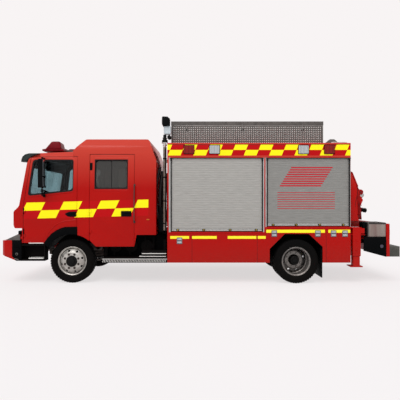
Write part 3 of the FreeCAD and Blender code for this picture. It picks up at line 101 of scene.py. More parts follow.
def round_edges(bm, verts, width, steps=2, limit=0.5):
    """Bevel the edges among these vertices that turn by more than the limit, in radians."""
    chosen = set(verts)
    edges = {e for v in verts for e in v.link_edges if all(w in chosen for w in e.verts)}
    edges = [e for e in edges if len(e.link_faces) == 2 and e.calc_face_angle(0) > limit]
    faces = bevel(bm, edges, width, steps)
    return list({v for f in faces for v in f.verts} | {v for v in chosen if v.is_valid})


def rod(bm, start, end, radius, sides=20, tip=None, edge=0.0):
    """A round bar between two points; tip is its radius at the far end."""
    start, end = Vector(start), Vector(end)
    run = end - start
    turn = run.to_track_quat("Z", "Y").to_matrix().to_4x4()
    tip = radius if tip is None else tip
    verts = bmesh.ops.create_cone(bm, cap_ends=True, segments=sides, radius1=radius, radius2=tip,
        depth=run.length)["verts"]
    bmesh.ops.transform(bm, matrix=Matrix.Translation((start + end) / 2) @ turn, verts=verts)
    return round_edges(bm, verts, edge, 2, 1.0) if edge else verts


def across(side, near, far):
    """Two distances from the middle as the lower and the upper y on one side of the truck."""
    return sorted((side * near, side * far))


def slab(bm, side, x, y, z, *shape, **more):
    """A box on one side of the truck, from its three spans; y counts from the truck's middle."""
    y = across(side, *y)
    return box(bm, (x[0], y[0], z[0]), (x[1], y[1], z[1]), *shape, **more)


def shaft(bm, y, z, start, end, *shape, **more):
    """A rod along the truck."""
    return rod(bm, (start, y, z), (end, y, z), *shape, **more)


def pin(bm, x, z, start, end, *shape, **more):
    """A rod across the truck."""
    return rod(bm, (x, start, z), (x, end, z), *shape, **more)


def post(bm, x, y, start, end, *shape, **more):
    """An upright rod."""
    return rod(bm, (x, y, start), (x, y, end), *shape, **more)


def outline(bm, points, start, end, plane="XZ", edge=0.0, steps=2):
    """A flat outline given a thickness along the third axis, from start to end."""
    lift = {"XZ": lambda u, v, w: (u, w, v), "XY": lambda u, v, w: (u, v, w), "YZ": lambda u, v,
        w: (w, u, v)}[plane]
    ring = [bm.verts.new(lift(u, v, start)) for u, v in points]
    face = bm.faces.new(ring)
    made = bmesh.ops.extrude_face_region(bm, geom=[face])["geom"]
    far = [g for g in made if isinstance(g, bmesh.types.BMVert)]
    bmesh.ops.translate(bm, vec=Vector(lift(0, 0, end)) - Vector(lift(0, 0, start)), verts=far)
    verts = ring + far
    return round_edges(bm, verts, edge, steps) if edge else verts


def turned(bm, profile, centre, side=1, steps=64, axis="Y"):
    """Spin a profile of (distance along the axle, radius) round an axle through the centre."""
    centre = Vector(centre)
    along = Vector((0, side, 0)) if axis == "Y" else Vector((0, 0, side))
    out = Vector((0, 0, 1)) if axis == "Y" else Vector((1, 0, 0))
    ring = [bm.verts.new(centre + along * a + out * r) for a, r in profile]
    edges = [bm.edges.new(pair) for pair in zip(ring, ring[1:])]
    made = bmesh.ops.spin(bm, geom=ring + edges, cent=centre, axis=along, angle=math.tau, steps=steps,
        use_merge=True)
    return ring, made


def circle(count, radius, phase=0.0):
    """Equal steps round a circle, as pairs of offsets."""
    turns = (math.tau * (number + phase) / count for number in range(count))
    return [(radius * math.cos(turn), radius * math.sin(turn)) for turn in turns]


def mirrored(bm):
    """Add the right-hand twin of everything in this bmesh."""
    geom = bm.verts[:] + bm.edges[:] + bm.faces[:]
    made = bmesh.ops.duplicate(bm, geom=geom)["geom"]
    verts = [g for g in made if isinstance(g, bmesh.types.BMVert)]
    faces = [g for g in made if isinstance(g, bmesh.types.BMFace)]
    bmesh.ops.scale(bm, vec=(1, -1, 1), verts=verts)
    bmesh.ops.reverse_faces(bm, faces=faces)


# %% [markdown]
# ## Turning a bmesh into a piece of the truck
# Every piece rides on one body of the frame, so it moves with its joint. The normals are made to agree
# and edges sharper than about thirty degrees stay crisp while the rest shades smoothly, which is how
# pressed and cast metal looks.

# %% The piece helper
SHARP = math.radians(32)
SIDES = (("left", -1), ("right", 1))
made_pieces = []


def piece(name, bm, body, material, replaces=(), merge=0.0, sharp=SHARP, turn_out=True):
    """Close the bmesh into an object that rides on a body."""
    if merge:
        bmesh.ops.remove_doubles(bm, verts=bm.verts, dist=merge)
    if turn_out:
        bmesh.ops.recalc_face_normals(bm, faces=bm.faces)
    for face in bm.faces:
        face.smooth = True
    for edge in bm.edges:
        edge.smooth = len(edge.link_faces) == 2 and edge.calc_face_angle(0) < sharp
    mesh = bpy.data.meshes.new(name)
    bm.to_mesh(mesh)
    bm.free()
    obj = bpy.data.objects.new(name, mesh)
    bpy.context.scene.collection.objects.link(obj)
    mesh.materials.append(material)
    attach(obj, body)
    if replaces:
        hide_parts(*replaces)
    made_pieces.append(obj)
    return obj


def pipe(bm, points, radius, sides=12):
    """A tube along a path of points, made from a curve and then added as mesh."""
    curve = bpy.data.curves.new("path", "CURVE")
    curve.dimensions = "3D"
    curve.bevel_depth = radius
    curve.bevel_resolution = max(1, sides // 4 - 1)
    curve.use_fill_caps = True
    curve.resolution_u = 6
    spline = curve.splines.new("NURBS")
    spline.points.add(len(points) - 1)
    for spot, point in zip(spline.points, points):
        spot.co = (*point, 1)
    spline.use_endpoint_u = True
    spline.order_u = 3
    holder = bpy.data.objects.new("path", curve)
    mesh = bpy.data.meshes.new_from_object(holder)
    bm.from_mesh(mesh)
    bpy.data.objects.remove(holder)
    bpy.data.curves.remove(curve)
    bpy.data.meshes.remove(mesh)


def pieces(body, prefix, **made):
    """Several pieces on one body: for each name its bmesh, its finish and the CAD nodes it replaces."""
    for name, (bm, material, *nodes) in made.items():
        piece(prefix + name, bm, body, material, nodes)


def stem_sides(build):
    """Build a piece for the left and the right: side is -1 on the left and +1 on the right."""
    for word, side in SIDES:
        build(word, side)


# %% [markdown]
# ## Shader helper
# A material is a small graph. Instead of placing nodes by hand, this little class adds one node per call
# and hands back its output, so a finish reads like a recipe: noise for the grain, a ramp for the tone,
# a bump for the touch. Patterns read the object's own coordinates, so they stay on the part as it moves.

# %% The shader helper
NOISE_ROUGHNESS = 0.55


class Finish:
    """A material under construction."""

    def __init__(self, name, colour=(0.5, 0.5, 0.5), rough=0.5, metal=0.0, specular=0.5):
        self.material = bpy.data.materials.new(name)
        self.material.use_nodes = True
        self.tree = self.material.node_tree
        self.bsdf = self.tree.nodes["Principled BSDF"]
        self.set("Base Color", (*colour, 1))
        self.set("Roughness", rough)
        self.set("Metallic", metal)
        self.set("Specular IOR Level", specular)
        self.place = self.tree.nodes.new("ShaderNodeTexCoord").outputs["Object"]

    def set(self, socket, value):
        """Set a plain value, or link an output, into a socket of the surface shader."""
        if isinstance(value, bpy.types.NodeSocket):
            self.tree.links.new(value, self.bsdf.inputs[socket])
        else:
            self.bsdf.inputs[socket].default_value = value

    def node(self, kind, *values, **named):
        """Add a node; values fill its inputs in order, and None leaves one alone."""
        node = self.tree.nodes.new(kind)
        for key, value in named.items():
            setattr(node, key, value)
        for socket, value in zip(node.inputs, values):
            if isinstance(value, bpy.types.NodeSocket):
                self.tree.links.new(value, socket)
            elif value is not None:
                socket.default_value = value
        return node

    def sum(self, operation, *values):
        return self.node("ShaderNodeMath", *values, operation=operation).outputs[0]

    def axes(self):
        node = self.node("ShaderNodeSeparateXYZ", self.place)
        return node.outputs[0], node.outputs[1], node.outputs[2]

    def noise(self, scale, detail=3.0, stretch=(1, 1, 1)):
        place = self.place
        if stretch != (1, 1, 1):
            place = self.node("ShaderNodeVectorMath", place, stretch, operation="MULTIPLY").outputs[0]
        node = self.node("ShaderNodeTexNoise", place)
        for socket, value in (("Scale", scale), ("Detail", detail), ("Roughness", NOISE_ROUGHNESS)):
            node.inputs[socket].default_value = value
        return node.outputs[0]

    def span(self, value, low, high, to_low=0.0, to_high=1.0):
        """Rescale a value from one range to another, clamped."""
        return self.node("ShaderNodeMapRange", value, low, high, to_low, to_high).outputs[0]

    def inside(self, value, low, high):
        """1 where a value lies between two limits."""
        above = self.sum("GREATER_THAN", value, low)
        return self.sum("MULTIPLY", above, self.sum("LESS_THAN", value, high))

    def blend(self, factor, one, two):
        node = self.tree.nodes.new("ShaderNodeMix")
        node.data_type = "RGBA"
        node.blend_type = "MIX"
        for key, value in (("Factor_Float", factor), ("A_Color", one), ("B_Color", two)):
            socket = next(s for s in node.inputs if s.identifier == key)
            if isinstance(value, bpy.types.NodeSocket):
                self.tree.links.new(value, socket)
            else:
                socket.default_value = value if key == "Factor_Float" else (*value[:3], 1)
        return next(s for s in node.outputs if s.identifier == "Result_Color")

    def bump(self, height, strength=0.2, distance=0.001):
        node = self.node("ShaderNodeBump")
        node.inputs["Strength"].default_value = strength
        node.inputs["Distance"].default_value = distance
        self.tree.links.new(height, node.inputs["Height"])
        self.set("Normal", node.outputs[0])


def tint(red, green, blue):
    """A colour given as screen values from 0 to 255, turned into the linear values that a shader takes."""
    levels = (value / 255 for value in (red, green, blue))
    return tuple(v / 12.92 if v <= 0.04045 else ((v + 0.055) / 1.055) ** 2.4 for v in levels)

# %% [markdown]
# ## Paint with a chequered band
# A fire service paints a truck red and tapes a two-row chequer of fluorescent yellow along its sides. On the
# real truck each block is a slanted sheet of film. Here the band is part of the paint's own graph, because
# it then runs on across the shut lines of the doors. A slanted coordinate is cut into equal steps, and the
# upper and lower rows take opposite steps. Faces that look inwards to the cab's middle get trim instead.

# %% Red paint, chequer and trim
RED = tint(172, 10, 4)
BAND_RED = tint(184, 4, 10)
YELLOW = tint(255, 241, 22)
TRIM = tint(34, 34, 37)
DUST = tint(104, 72, 58)


def chequer(finish, along, height, middle, row, start, pitch, slant):
    """1 where a block of the two-row chequer is yellow, 0 elsewhere, and 1 inside the band as a whole."""
    above = finish.sum("SUBTRACT", height, middle)
    leaned = finish.sum("SUBTRACT", along, finish.sum("MULTIPLY", above, slant))
    turn = finish.sum("FRACT", finish.sum("DIVIDE", finish.sum("SUBTRACT", leaned, start), pitch))
    late = finish.sum("GREATER_THAN", turn, 0.5)
    upper = finish.sum("GREATER_THAN", above, 0.0)
    differs = finish.sum("ABSOLUTE", finish.sum("SUBTRACT", late, upper))
    band = finish.inside(above, -row, row)
    return finish.sum("MULTIPLY", band, finish.sum("SUBTRACT", 1.0, differs)), band


def red_paint(name, middle=None, row=0.0, start=0.0, pitch=1.0, slant=0.0, ends=(-9, 9), drop=0.0,
        side_from=1.0, heart=None, room=None, lining=TRIM):
    """Gloss paint with dust low down, a painted sky reflection that pales it higher up, an optional
    chequer on the sides, and a lining on the faces that look towards the heart, or that lie inside a
    room: half width, x range, z range."""
    finish = Finish(name, RED, rough=0.34, specular=0.1)
    x, y, z = finish.axes()
    cloud = finish.noise(1.4, 4)
    colour = finish.blend(finish.span(cloud, 0.3, 0.7, 0.0, 0.35), RED, tint(158, 8, 5))
    # Painted sky reflection: the red is blended towards a pale pink higher up, so upper faces look lit.
    sky = finish.span(z, 1.8, 2.5, 0.0, 0.65)
    colour = finish.blend(sky, colour, tint(210, 76, 60))
    if middle is not None:
        height = finish.sum("ADD", z, finish.sum("MULTIPLY", x, -drop))
        yellow, band = chequer(finish, x, height, middle, row, start, pitch, slant)
        side = finish.sum("GREATER_THAN", finish.sum("ABSOLUTE", y), side_from)
        side = finish.sum("MULTIPLY", side, finish.inside(x, *ends))
        film = finish.blend(yellow, BAND_RED, YELLOW)
        colour = finish.blend(finish.sum("MULTIPLY", side, band), colour, film)
    grime = finish.sum("MULTIPLY", finish.span(z, 0.35, 0.8, 0.2, 0.0), finish.noise(5, 5))
    colour = finish.blend(grime, colour, DUST)
    if heart is not None:
        away = finish.node("ShaderNodeVectorMath", heart, finish.place, operation="SUBTRACT").outputs[0]
        facing = finish.tree.nodes.new("ShaderNodeTexCoord").outputs["Normal"]
        dot = finish.node("ShaderNodeVectorMath", facing, away, operation="DOT_PRODUCT")
        inner = finish.sum("GREATER_THAN", dot.outputs["Value"], 0.0)
    if room is not None:
        inner = finish.inside(finish.sum("ABSOLUTE", y), -1, room[0])
        inner = finish.sum("MULTIPLY", inner, finish.inside(x, room[1], room[2]))
        inner = finish.sum("MULTIPLY", inner, finish.inside(z, room[3], room[4]))
    if heart is not None or room is not None:
        colour = finish.blend(inner, colour, lining)
        finish.set("Roughness", finish.span(inner, 0, 1, 0.28, 0.75))
    finish.set("Base Color", colour)
    finish.set("Coat Weight", 0.05)
    finish.set("Coat Roughness", 0.08)
    finish.bump(finish.noise(260, 2), 0.04, 0.0006)
    return finish.material


plain_red = red_paint("red_paint")
cab_red = red_paint("cab_paint", middle=1.462, row=0.152, start=-2.997, pitch=0.7, slant=0.49,
    ends=(-3.325, -0.975), drop=0.026, side_from=1.13, heart=(-2.2, 0, 1.75))
body_red = red_paint("body_paint", middle=2.521, row=0.105, start=0.865, pitch=0.476, slant=0.4,
    ends=(-0.614, 2.832), side_from=1.19, room=(1.186, -0.6, 2.815, 0.8, 2.6), lining=tint(150, 152, 154))
print("paint made")

# %% [markdown]
# ## Metals, rubber and plastics
# The rest of the truck is bare and painted metal, rubber and moulded plastic. Rolled aluminium has a fine
# streak along the sheet, cast parts have a coarse grain, rubber carries dust, and black plastic has a
# leather-like grain. Each finish mixes two close tones by noise, so no surface is one flat colour.

# %% A general grained finish
def grained(name, dark, light, rough, metal=0.0, scale=20, stretch=(1, 1, 1), bump=0.1, deep=0.0006,
        specular=0.4, dust=0.0, low=0.3, high=0.9):
    """Two screen colours mixed by noise, a touch of bump, and optional dust near the ground."""
    dark, light = tint(*dark), tint(*light)
    finish = Finish(name, dark, rough, metal, specular)
    grain = finish.noise(scale, 5, stretch)
    colour = finish.blend(finish.span(grain, 0.3, 0.7), dark, light)
    if dust:
        z = finish.axes()[2]
        amount = finish.sum("MULTIPLY", finish.span(z, low, high, dust, 0.0), finish.noise(7, 5))
        colour = finish.blend(amount, colour, DUST)
    finish.set("Base Color", colour)
    finish.set("Roughness", finish.span(grain, 0.25, 0.75, max(0.05, rough - 0.08), min(1, rough + 0.1)))
    if bump:
        finish.bump(grain, bump, deep)
    return finish.material


black_plastic = grained("black_plastic", (4, 5, 6), (11, 12, 13), 0.6, scale=160, bump=0.25, specular=0.06)
black_rubber = grained("black_rubber", (4, 4, 4), (10, 10, 10), 0.85, scale=40, bump=0.2, specular=0.07,
    dust=0.03, low=0.0, high=0.9)
seal_rubber = grained("seal_rubber", (8, 8, 9), (15, 15, 16), 0.6, scale=90, bump=0.1, specular=0.2)
frame_paint = grained("frame_paint", (6, 6, 7), (14, 13, 12), 0.65, scale=12, bump=0.15, specular=0.04,
    dust=0.04, low=0.2, high=1.0)
cast_iron = grained("cast_iron", (44, 42, 41), (78, 72, 68), 0.75, 0.4, scale=60, bump=0.4, deep=0.002,
    dust=0.4, low=0.2, high=1.2)
tread_metal = grained("tread_metal", (78, 74, 71), (100, 96, 92), 0.5, 0.4, scale=9, bump=0.06)
tread_lug = grained("tread_lug", (206, 203, 198), (232, 229, 224), 0.35, 0.3, scale=30, bump=0.05)
slat_metal = grained("slat_metal", (152, 150, 145), (170, 168, 163), 0.42, 0.35, scale=6,
    stretch=(1, 1, 14), bump=0.02)
slat_dull = grained("slat_metal_dull", (126, 125, 121), (144, 143, 139), 0.45, 0.35, scale=6,
    stretch=(1, 1, 14), bump=0.02)
rail_metal = grained("rail_metal", (150, 149, 146), (186, 185, 182), 0.38, 0.5, scale=8,
    stretch=(12, 12, 1), bump=0.03)
stainless = grained("stainless", (126, 122, 118), (158, 153, 149), 0.34, 0.6, scale=14, stretch=(1, 1, 10),
    bump=0.03)
wheel_silver = grained("wheel_silver", (158, 154, 148), (196, 192, 186), 0.34, 0.65, scale=18, bump=0.05,
    dust=0.35, low=0.1, high=0.5)
# A darker copy of wheel_silver: painted shade for the deep-set twin discs and their nuts.
wheel_silver_painted_shade = grained("wheel_silver_painted_shade", (100, 96, 93), (140, 136, 132), 0.38, 0.65, scale=18, bump=0.05,
    dust=0.35, low=0.1, high=0.5)
hub_black = grained("hub_black", (8, 7, 7), (18, 16, 15), 0.5, 0.1, scale=30, bump=0.1, specular=0.12)
chrome = grained("polished_steel", (190, 190, 190), (214, 214, 212), 0.16, 1.0, scale=20, bump=0.01)
brass = grained("brass", (150, 128, 58), (182, 160, 84), 0.34, 0.8, scale=40, bump=0.05)
mast_paint = grained("mast_paint", (88, 78, 70), (128, 118, 108), 0.45, 0.3, scale=30, bump=0.05)
seat_cloth = grained("seat_cloth", (44, 46, 54), (66, 68, 78), 0.9, scale=420, bump=0.5, specular=0.2)
dash_grain = grained("dash_grain", (40, 41, 44), (58, 59, 62), 0.65, scale=200, bump=0.35)
yellow_film = grained("yellow_film", (250, 236, 18), (255, 246, 40), 0.35, scale=300, bump=0.1)
red_stripe = grained("red_stripe", (176, 12, 30), (190, 22, 38), 0.4, scale=60, bump=0.03)
white_paint = grained("white_paint", (226, 226, 222), (240, 240, 238), 0.4, scale=40, bump=0.03)
print("metals, rubber and plastics made")

# %% [markdown]
# ## Glass and lenses
# Cab glass is nearly clear, and the crew windows carry a dark film. A real pane both reflects and lets the
# seats show, so it is a transmitting shader with a tint. Lamp lenses are coloured plastic with fine ribs,
# and a soft glow is left out, because the lamps are off.

# %% Glass and lens finishes
def glass(name, colour, rough=0.02, through=1.0):
    finish = Finish(name, colour, rough, specular=0.5)
    finish.set("Transmission Weight", through)
    finish.set("IOR", 1.25)
    finish.bump(finish.noise(3, 1), 0.01, 0.0005)
    return finish.material


def lens(name, colour, deep, ribs=240, through=0.25):
    """Ribbed coloured plastic: bright on the ribs and deeper between them."""
    finish = Finish(name, colour, 0.28, specular=0.18)
    x = finish.axes()[0]
    wave = finish.sum("SINE", finish.sum("MULTIPLY", x, ribs))
    finish.set("Base Color", finish.blend(finish.span(wave, -1, 1), deep, colour))
    finish.set("Transmission Weight", through)
    finish.set("Coat Weight", 0.2)
    finish.bump(wave, 0.25, 0.001)
    return finish.material


clear_glass = glass("clear_glass", tint(168, 190, 194), through=1.0)
dark_glass = glass("dark_glass", tint(112, 110, 106), through=0.72)
visor_plastic = glass("visor_plastic", tint(52, 60, 58), 0.12, 0.45)
red_lens = lens("red_lens", tint(150, 22, 16), tint(92, 6, 8), through=0.0)
clear_lens = lens("clear_lens", tint(214, 218, 218), tint(176, 180, 182))
amber_lens = lens("amber_lens", tint(232, 120, 16), tint(190, 84, 6))
mirror_face = Finish("mirror_face", tint(190, 200, 205), 0.03, 1.0).material
print("glass and lenses made")

# %% [markdown]
# ## Softened CAD parts
# Many CAD parts already have the right shape and only lack the small radius that every folded or cast edge
# has. A copy of such a part is merged, its flat faces are joined, and its hard edges get a narrow bevel.
# The copy then stands for the CAD node, which stays hidden for the physics.

# %% Soften a CAD part
CREASED = 0.6
body_of_node = {node: body for body, nodes in frame["record"]["behaviour"]["bodies"].items()
    for node in nodes}


def copy_of(node):
    """The node's mesh as a welded bmesh with its flat faces joined."""
    bm = bmesh.new()
    bm.from_mesh(frame["nodes"][node].data)
    bmesh.ops.remove_doubles(bm, verts=bm.verts, dist=0.00002)
    bmesh.ops.dissolve_limit(bm, angle_limit=0.01, use_dissolve_boundaries=False, verts=bm.verts,
        edges=bm.edges, delimit=set())
    return bm


def soften(node, material, width=SOFT_EDGE):
    """Stand a copy with bevelled edges in for a CAD node."""
    bm = copy_of(node)
    edges = [e for e in bm.edges if len(e.link_faces) == 2 and e.calc_face_angle(0) > CREASED and
        e.calc_length() > 2.5 * width]
    bevel(bm, edges, width)
    piece(node + "_finish", bm, body_of_node[node], material, [node], merge=0.00001, turn_out=False)


def dress(node, material):
    """Give a CAD node's own mesh a finish."""
    slots = frame["nodes"][node].material_slots
    for slot in slots:
        slot.material = material
    if not slots:
        frame["nodes"][node].data.materials.append(material)


for node in ("cab_shell", "left_front_door", "right_front_door", "left_crew_door", "right_crew_door"):
    soften(node, cab_red, 0.005)
for node in ("crane_base", "crane_column", "crane_boom", "crane_extension", "rear_bumper",
        "left_outrigger_leg", "right_outrigger_leg"):
    soften(node, plain_red)
soften("body_shell", body_red)
soften("front_bumper", plain_red, 0.006)
for node in ("mudguards", "dashboard", "left_mirror", "right_mirror", "steering_wheel"):
    soften(node, black_plastic if node != "dashboard" else dash_grain)
for finish, nodes in ((cast_iron, ("front_axle", "rear_axle", "left_knuckle", "right_knuckle")),
        (frame_paint, ("chassis_frame", "tanks", "side_steps")),
        (tread_metal, ("lockers", "left_roof_lid", "right_roof_lid")), (mast_paint, ("mast_post",)),
        (chrome, ("mast_tube",)), (clear_glass, ("cab_glass", "left_front_door_glass",
        "right_front_door_glass")), (dark_glass, ("left_crew_door_glass", "right_crew_door_glass"))):
    for node in nodes:
        dress(node, finish)
soften("sun_visor", visor_plastic, 0.005)
print("softened", len(made_pieces), "CAD parts")

# %% [markdown]
# ## Tyres
# A truck tyre is a turned shape: bead, bulging sidewall, shoulder and ribs with grooves between them. The
# profile is spun round the axle, then a ring of shoulder lugs is set on it. Real grooves read much better
# than a bump, because the silhouette at the ground shows them.

# %% Tyres with ribs and shoulder lugs
TYRE_RADIUS = 0.419
FRONT_AXLE_X, REAR_AXLE_X = -2.43, 1.82
FRONT_WHEEL_Y, TWIN_Y, DISC_OFFSET = 1.0, 0.915, 0.14
LUGS = 52


def tyre(bm, x, y):
    centre = Vector((x, y, TYRE_RADIUS))
    half = [(0.088, 0.262), (0.094, 0.274), (0.104, 0.28), (0.106, 0.284), (0.113, 0.3), (0.118, 0.33),
        (0.1185, 0.35), (0.1155, 0.372), (0.113, 0.374), (0.112, 0.378), (0.108, 0.39), (0.098, 0.407),
        (0.09, 0.4105), (0.062, 0.4125)]
    ribs = [(0.062, 0.4165), (0.034, 0.4178), (0.033, 0.407), (0.024, 0.407), (0.023, 0.4182),
        (0.006, 0.4188), (0.005, 0.4075)]
    right = half + ribs
    profile = [(-a, r) for a, r in right] + list(reversed(right))
    turned(bm, profile, centre, steps=104)
    for side in (-1, 1):
        for number in range(LUGS):
            turn = math.tau * (number + 0.5 * (side > 0)) / LUGS
            lug = bmesh.ops.create_cube(bm, size=1)["verts"]
            bmesh.ops.scale(bm, vec=(0.033, 0.04, 0.016), verts=lug)
            top = [v for v in lug if v.co.z > 0]
            bmesh.ops.scale(bm, vec=(0.9, 0.94, 1), verts=top)
            spot = Matrix.Translation((0, side * 0.082, 0.4095))
            spin = Matrix.Rotation(turn, 4, "Y") @ spot @ Matrix.Rotation(-side * 0.1, 4, "X")
            bmesh.ops.transform(bm, matrix=Matrix.Translation(centre) @ spin, verts=lug)


def tyres(word, side):
    bm = bmesh.new()
    tyre(bm, FRONT_AXLE_X, side * FRONT_WHEEL_Y)
    piece(word + "_front_tyre_tread", bm, word + "_front_wheel", black_rubber, [word + "_front_tyre"])
    bm = bmesh.new()
    for offset in (-DISC_OFFSET, DISC_OFFSET):
        tyre(bm, REAR_AXLE_X, side * (TWIN_Y + offset))
    piece(word + "_rear_tyre_treads", bm, word + "_rear_wheels", black_rubber, [word + "_rear_tyres"])


stem_sides(tyres)
print("tyres", [len(p.data.polygons) for p in made_pieces[-4:]])

# %% [markdown]
# ## Disc wheels
# A pressed steel wheel is a rolled barrel welded to a dished disc with eight round hand holes. One open
# profile is spun in thirty-two steps, one face in four is opened for the holes, and then the sheet gets its
# thickness from Solidify and its roundness from Subdivision Surface, which turns each square hole round.
# Front discs bulge outwards and the twin discs are set deep in, which is why the two look so different;
# the twin discs also take a darker copy of the silver, painted shade for their deep setting.

# %% Wheels, hubs and nuts
HOLE_RING = (0.184, 0.226)
STUD_CIRCLE = 0.1375
NUT_RADIUS = 0.0165
SHEET = 0.007


def disc_wheel(bm, x, y, out, reach):
    """Barrel and disc; out is the side it faces, reach the disc's distance from the tyre's middle."""
    centre = Vector((x, y, TYRE_RADIUS))
    barrel = [(-0.1, 0.273), (-0.094, 0.273), (-0.088, 0.262), (-0.084, 0.249), (-0.055, 0.245),
        (-0.03, 0.236), (0.03, 0.236), (0.055, 0.245), (0.084, 0.249), (0.088, 0.262), (0.094, 0.273),
        (0.1, 0.273)]
    disc = [(reach - 0.1, 0.2335), (reach - 0.07, 0.2335), (reach - 0.046, HOLE_RING[1]),
        (reach - 0.012, HOLE_RING[0]), (reach - 0.002, 0.172), (reach, 0.16), (reach, 0.112),
        (reach, 0.104)]
    for profile in (barrel, disc):
        turned(bm, profile, centre, side=out, steps=32)
    bmesh.ops.remove_doubles(bm, verts=bm.verts, dist=0.0001)
    holes = []
    for face in bm.faces:
        spot = face.calc_center_median() - centre
        radius = math.hypot(spot.x, spot.z)
        step = math.floor((math.atan2(spot.z, spot.x) % math.tau) / (math.tau / 32))
        if 0.195 < radius < 0.215 and abs(spot.y * out - (reach - 0.029)) < 0.02 and step % 4 == 1:
            holes.append(face)
    bmesh.ops.delete(bm, geom=holes, context="FACES")
    return len(holes)


def wheel_finish(obj):
    """Give the pressed sheet its thickness and roundness."""
    wall = obj.modifiers.new("sheet", "SOLIDIFY")
    wall.thickness = SHEET
    wall.offset = 0
    smooth = obj.modifiers.new("round", "SUBSURF")
    smooth.levels = smooth.render_levels = 2


def nuts(bm, x, y, out, reach):
    for u, v in circle(8, STUD_CIRCLE, 0.5):
        at = [(x + u, y + out * (reach + a), TYRE_RADIUS + v) for a in (0.002, 0.007, 0.028, 0.04)]
        rod(bm, at[0], at[1], 0.022, 20)
        rod(bm, at[1], at[2], NUT_RADIUS, 6, edge=0.0015)
        rod(bm, at[2], at[3], 0.009, 10)


def front_wheel(word, side):
    y, body = side * FRONT_WHEEL_Y, word + "_front_wheel"
    bm = bmesh.new()
    holes = disc_wheel(bm, FRONT_AXLE_X, y, side, DISC_OFFSET)
    wheel_finish(piece(word + "_front_disc", bm, body, wheel_silver, [body]))
    bm = bmesh.new()
    nuts(bm, FRONT_AXLE_X, y, side, DISC_OFFSET)
    piece(word + "_front_nuts", bm, body, cast_iron)
    bm = bmesh.new()
    cap = [(0.02, 0.226), (0.016, 0.11), (0.12, 0.106), (0.152, 0.104), (0.16, 0.099), (0.163, 0.086),
        (0.166, 0.066), (0.18, 0.062), (0.184, 0.054), (0.184, 0.02), (0.186, 0.0)]
    drum = [(0.02, 0.226), (0.012, 0.226), (0.008, 0.19), (-0.02, 0.19), (-0.045, 0.194), (-0.07, 0.19),
        (-0.09, 0.19), (-0.09, 0.165), (0.0, 0.165), (0.0, 0.04)]
    for profile in (cap, drum):
        turned(bm, profile, (FRONT_AXLE_X, y, TYRE_RADIUS), side, 48)
    for u, v in circle(6, 0.078):
        pin(bm, FRONT_AXLE_X + u, TYRE_RADIUS + v, y + side * 0.16, y + side * 0.171, 0.008, 6)
    piece(word + "_front_hub", bm, body, hub_black, merge=0.00005)
    print(word, "front wheel with", holes, "hand holes")


def rear_wheel(word, side):
    body = word + "_rear_wheels"
    bm = bmesh.new()
    outer = disc_wheel(bm, REAR_AXLE_X, side * (TWIN_Y + DISC_OFFSET), side, -DISC_OFFSET + 0.012)
    wheel_finish(piece(word + "_rear_disc_outer", bm, body, wheel_silver_painted_shade, [body]))
    bm = bmesh.new()
    disc_wheel(bm, REAR_AXLE_X, side * (TWIN_Y - DISC_OFFSET), side, DISC_OFFSET - 0.012)
    wheel_finish(piece(word + "_rear_disc_inner", bm, body, wheel_silver_painted_shade))
    bm = bmesh.new()
    nuts(bm, REAR_AXLE_X, side * TWIN_Y, side, 0.014)
    piece(word + "_rear_nuts", bm, body, wheel_silver_painted_shade)
    bm = bmesh.new()
    hub = [(-0.03, 0.11), (0.02, 0.106), (0.03, 0.104), (0.06, 0.088), (0.09, 0.082), (0.1, 0.08),
        (0.104, 0.072), (0.104, 0.05), (0.11, 0.044), (0.11, 0.0)]
    drum = [(-0.014, 0.106), (-0.014, 0.19), (-0.124, 0.19), (-0.124, 0.165), (-0.034, 0.165),
        (-0.034, 0.0)]
    for profile in (hub, drum):
        turned(bm, profile, (REAR_AXLE_X, side * TWIN_Y, TYRE_RADIUS), side, 48)
    for u, v in circle(8, 0.062):
        pin(bm, REAR_AXLE_X + u, TYRE_RADIUS + v, side * (TWIN_Y + 0.1), side * (TWIN_Y + 0.112), 0.007, 6)
    piece(word + "_rear_hub", bm, body, hub_black, merge=0.00005)
    print(word, "twin wheels with", outer, "hand holes")


stem_sides(front_wheel)
stem_sides(rear_wheel)

# %% [markdown]
# ## Roller shutters
# Each locker closes with a curtain of rolled aluminium slats on a lifting bar. A slat is a shallow bulge
# with a groove above and below it, so one outline is extruded along the truck for every slat. When the
# bar rises, the real curtain winds on to a drum.

# %% Slats, lifting bars and latches
SLAT_PITCH = 0.043
SLAT_BACK = 0.009
LATCHES = {"front": (-0.419, 0.07, 0.566, 1.058), "rear": (1.376, 1.809, 2.25, 2.694)}


def face_of(low, high, side):
    """The outer y of a box on one side of the truck."""
    return low[1] if side < 0 else high[1]


def slats(word, side, place):
    """The curtain, and the stripes taped to the rear one."""
    name = f"{word}_{place}_shutter"
    low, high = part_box(name + "_curtain")
    outer = face_of(low, high, side)
    count = round((high[2] - low[2]) / SLAT_PITCH)
    pitch = (high[2] - low[2]) / count
    bm, tape = blank(2)
    for z in spaced(count, low[2], pitch):
        rise = [(0.0013, 0.0), (0.001, 0.0015), (0.0004, 0.005), (0.0, 0.014), (0.0, pitch - 0.014),
            (0.0004, pitch - 0.005), (0.001, pitch - 0.0015), (0.0013, pitch), (SLAT_BACK, pitch),
            (SLAT_BACK, 0.0)]
        outline(bm, [(outer - side * u, z + v) for u, v in rise], low[0], high[0], "YZ")
        stripe(tape, place, z + pitch / 2, outer + side * 0.0008, side)
    metal = slat_metal if place == "front" else slat_dull
    made = [piece(name + "_slats", bm, name, metal, [name + "_curtain"])]
    if len(tape.verts):
        made.append(piece(name + "_stripes", tape, name, red_stripe))
    else:
        tape.free()
    for obj in made:
        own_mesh(obj)
    return count


STRIPES = [(1.84, 2.2, 1.5, 0.78, 0.62, 0.02), (1.41, 1.74, 1.46, 1.08, 0.0, 0.01)]


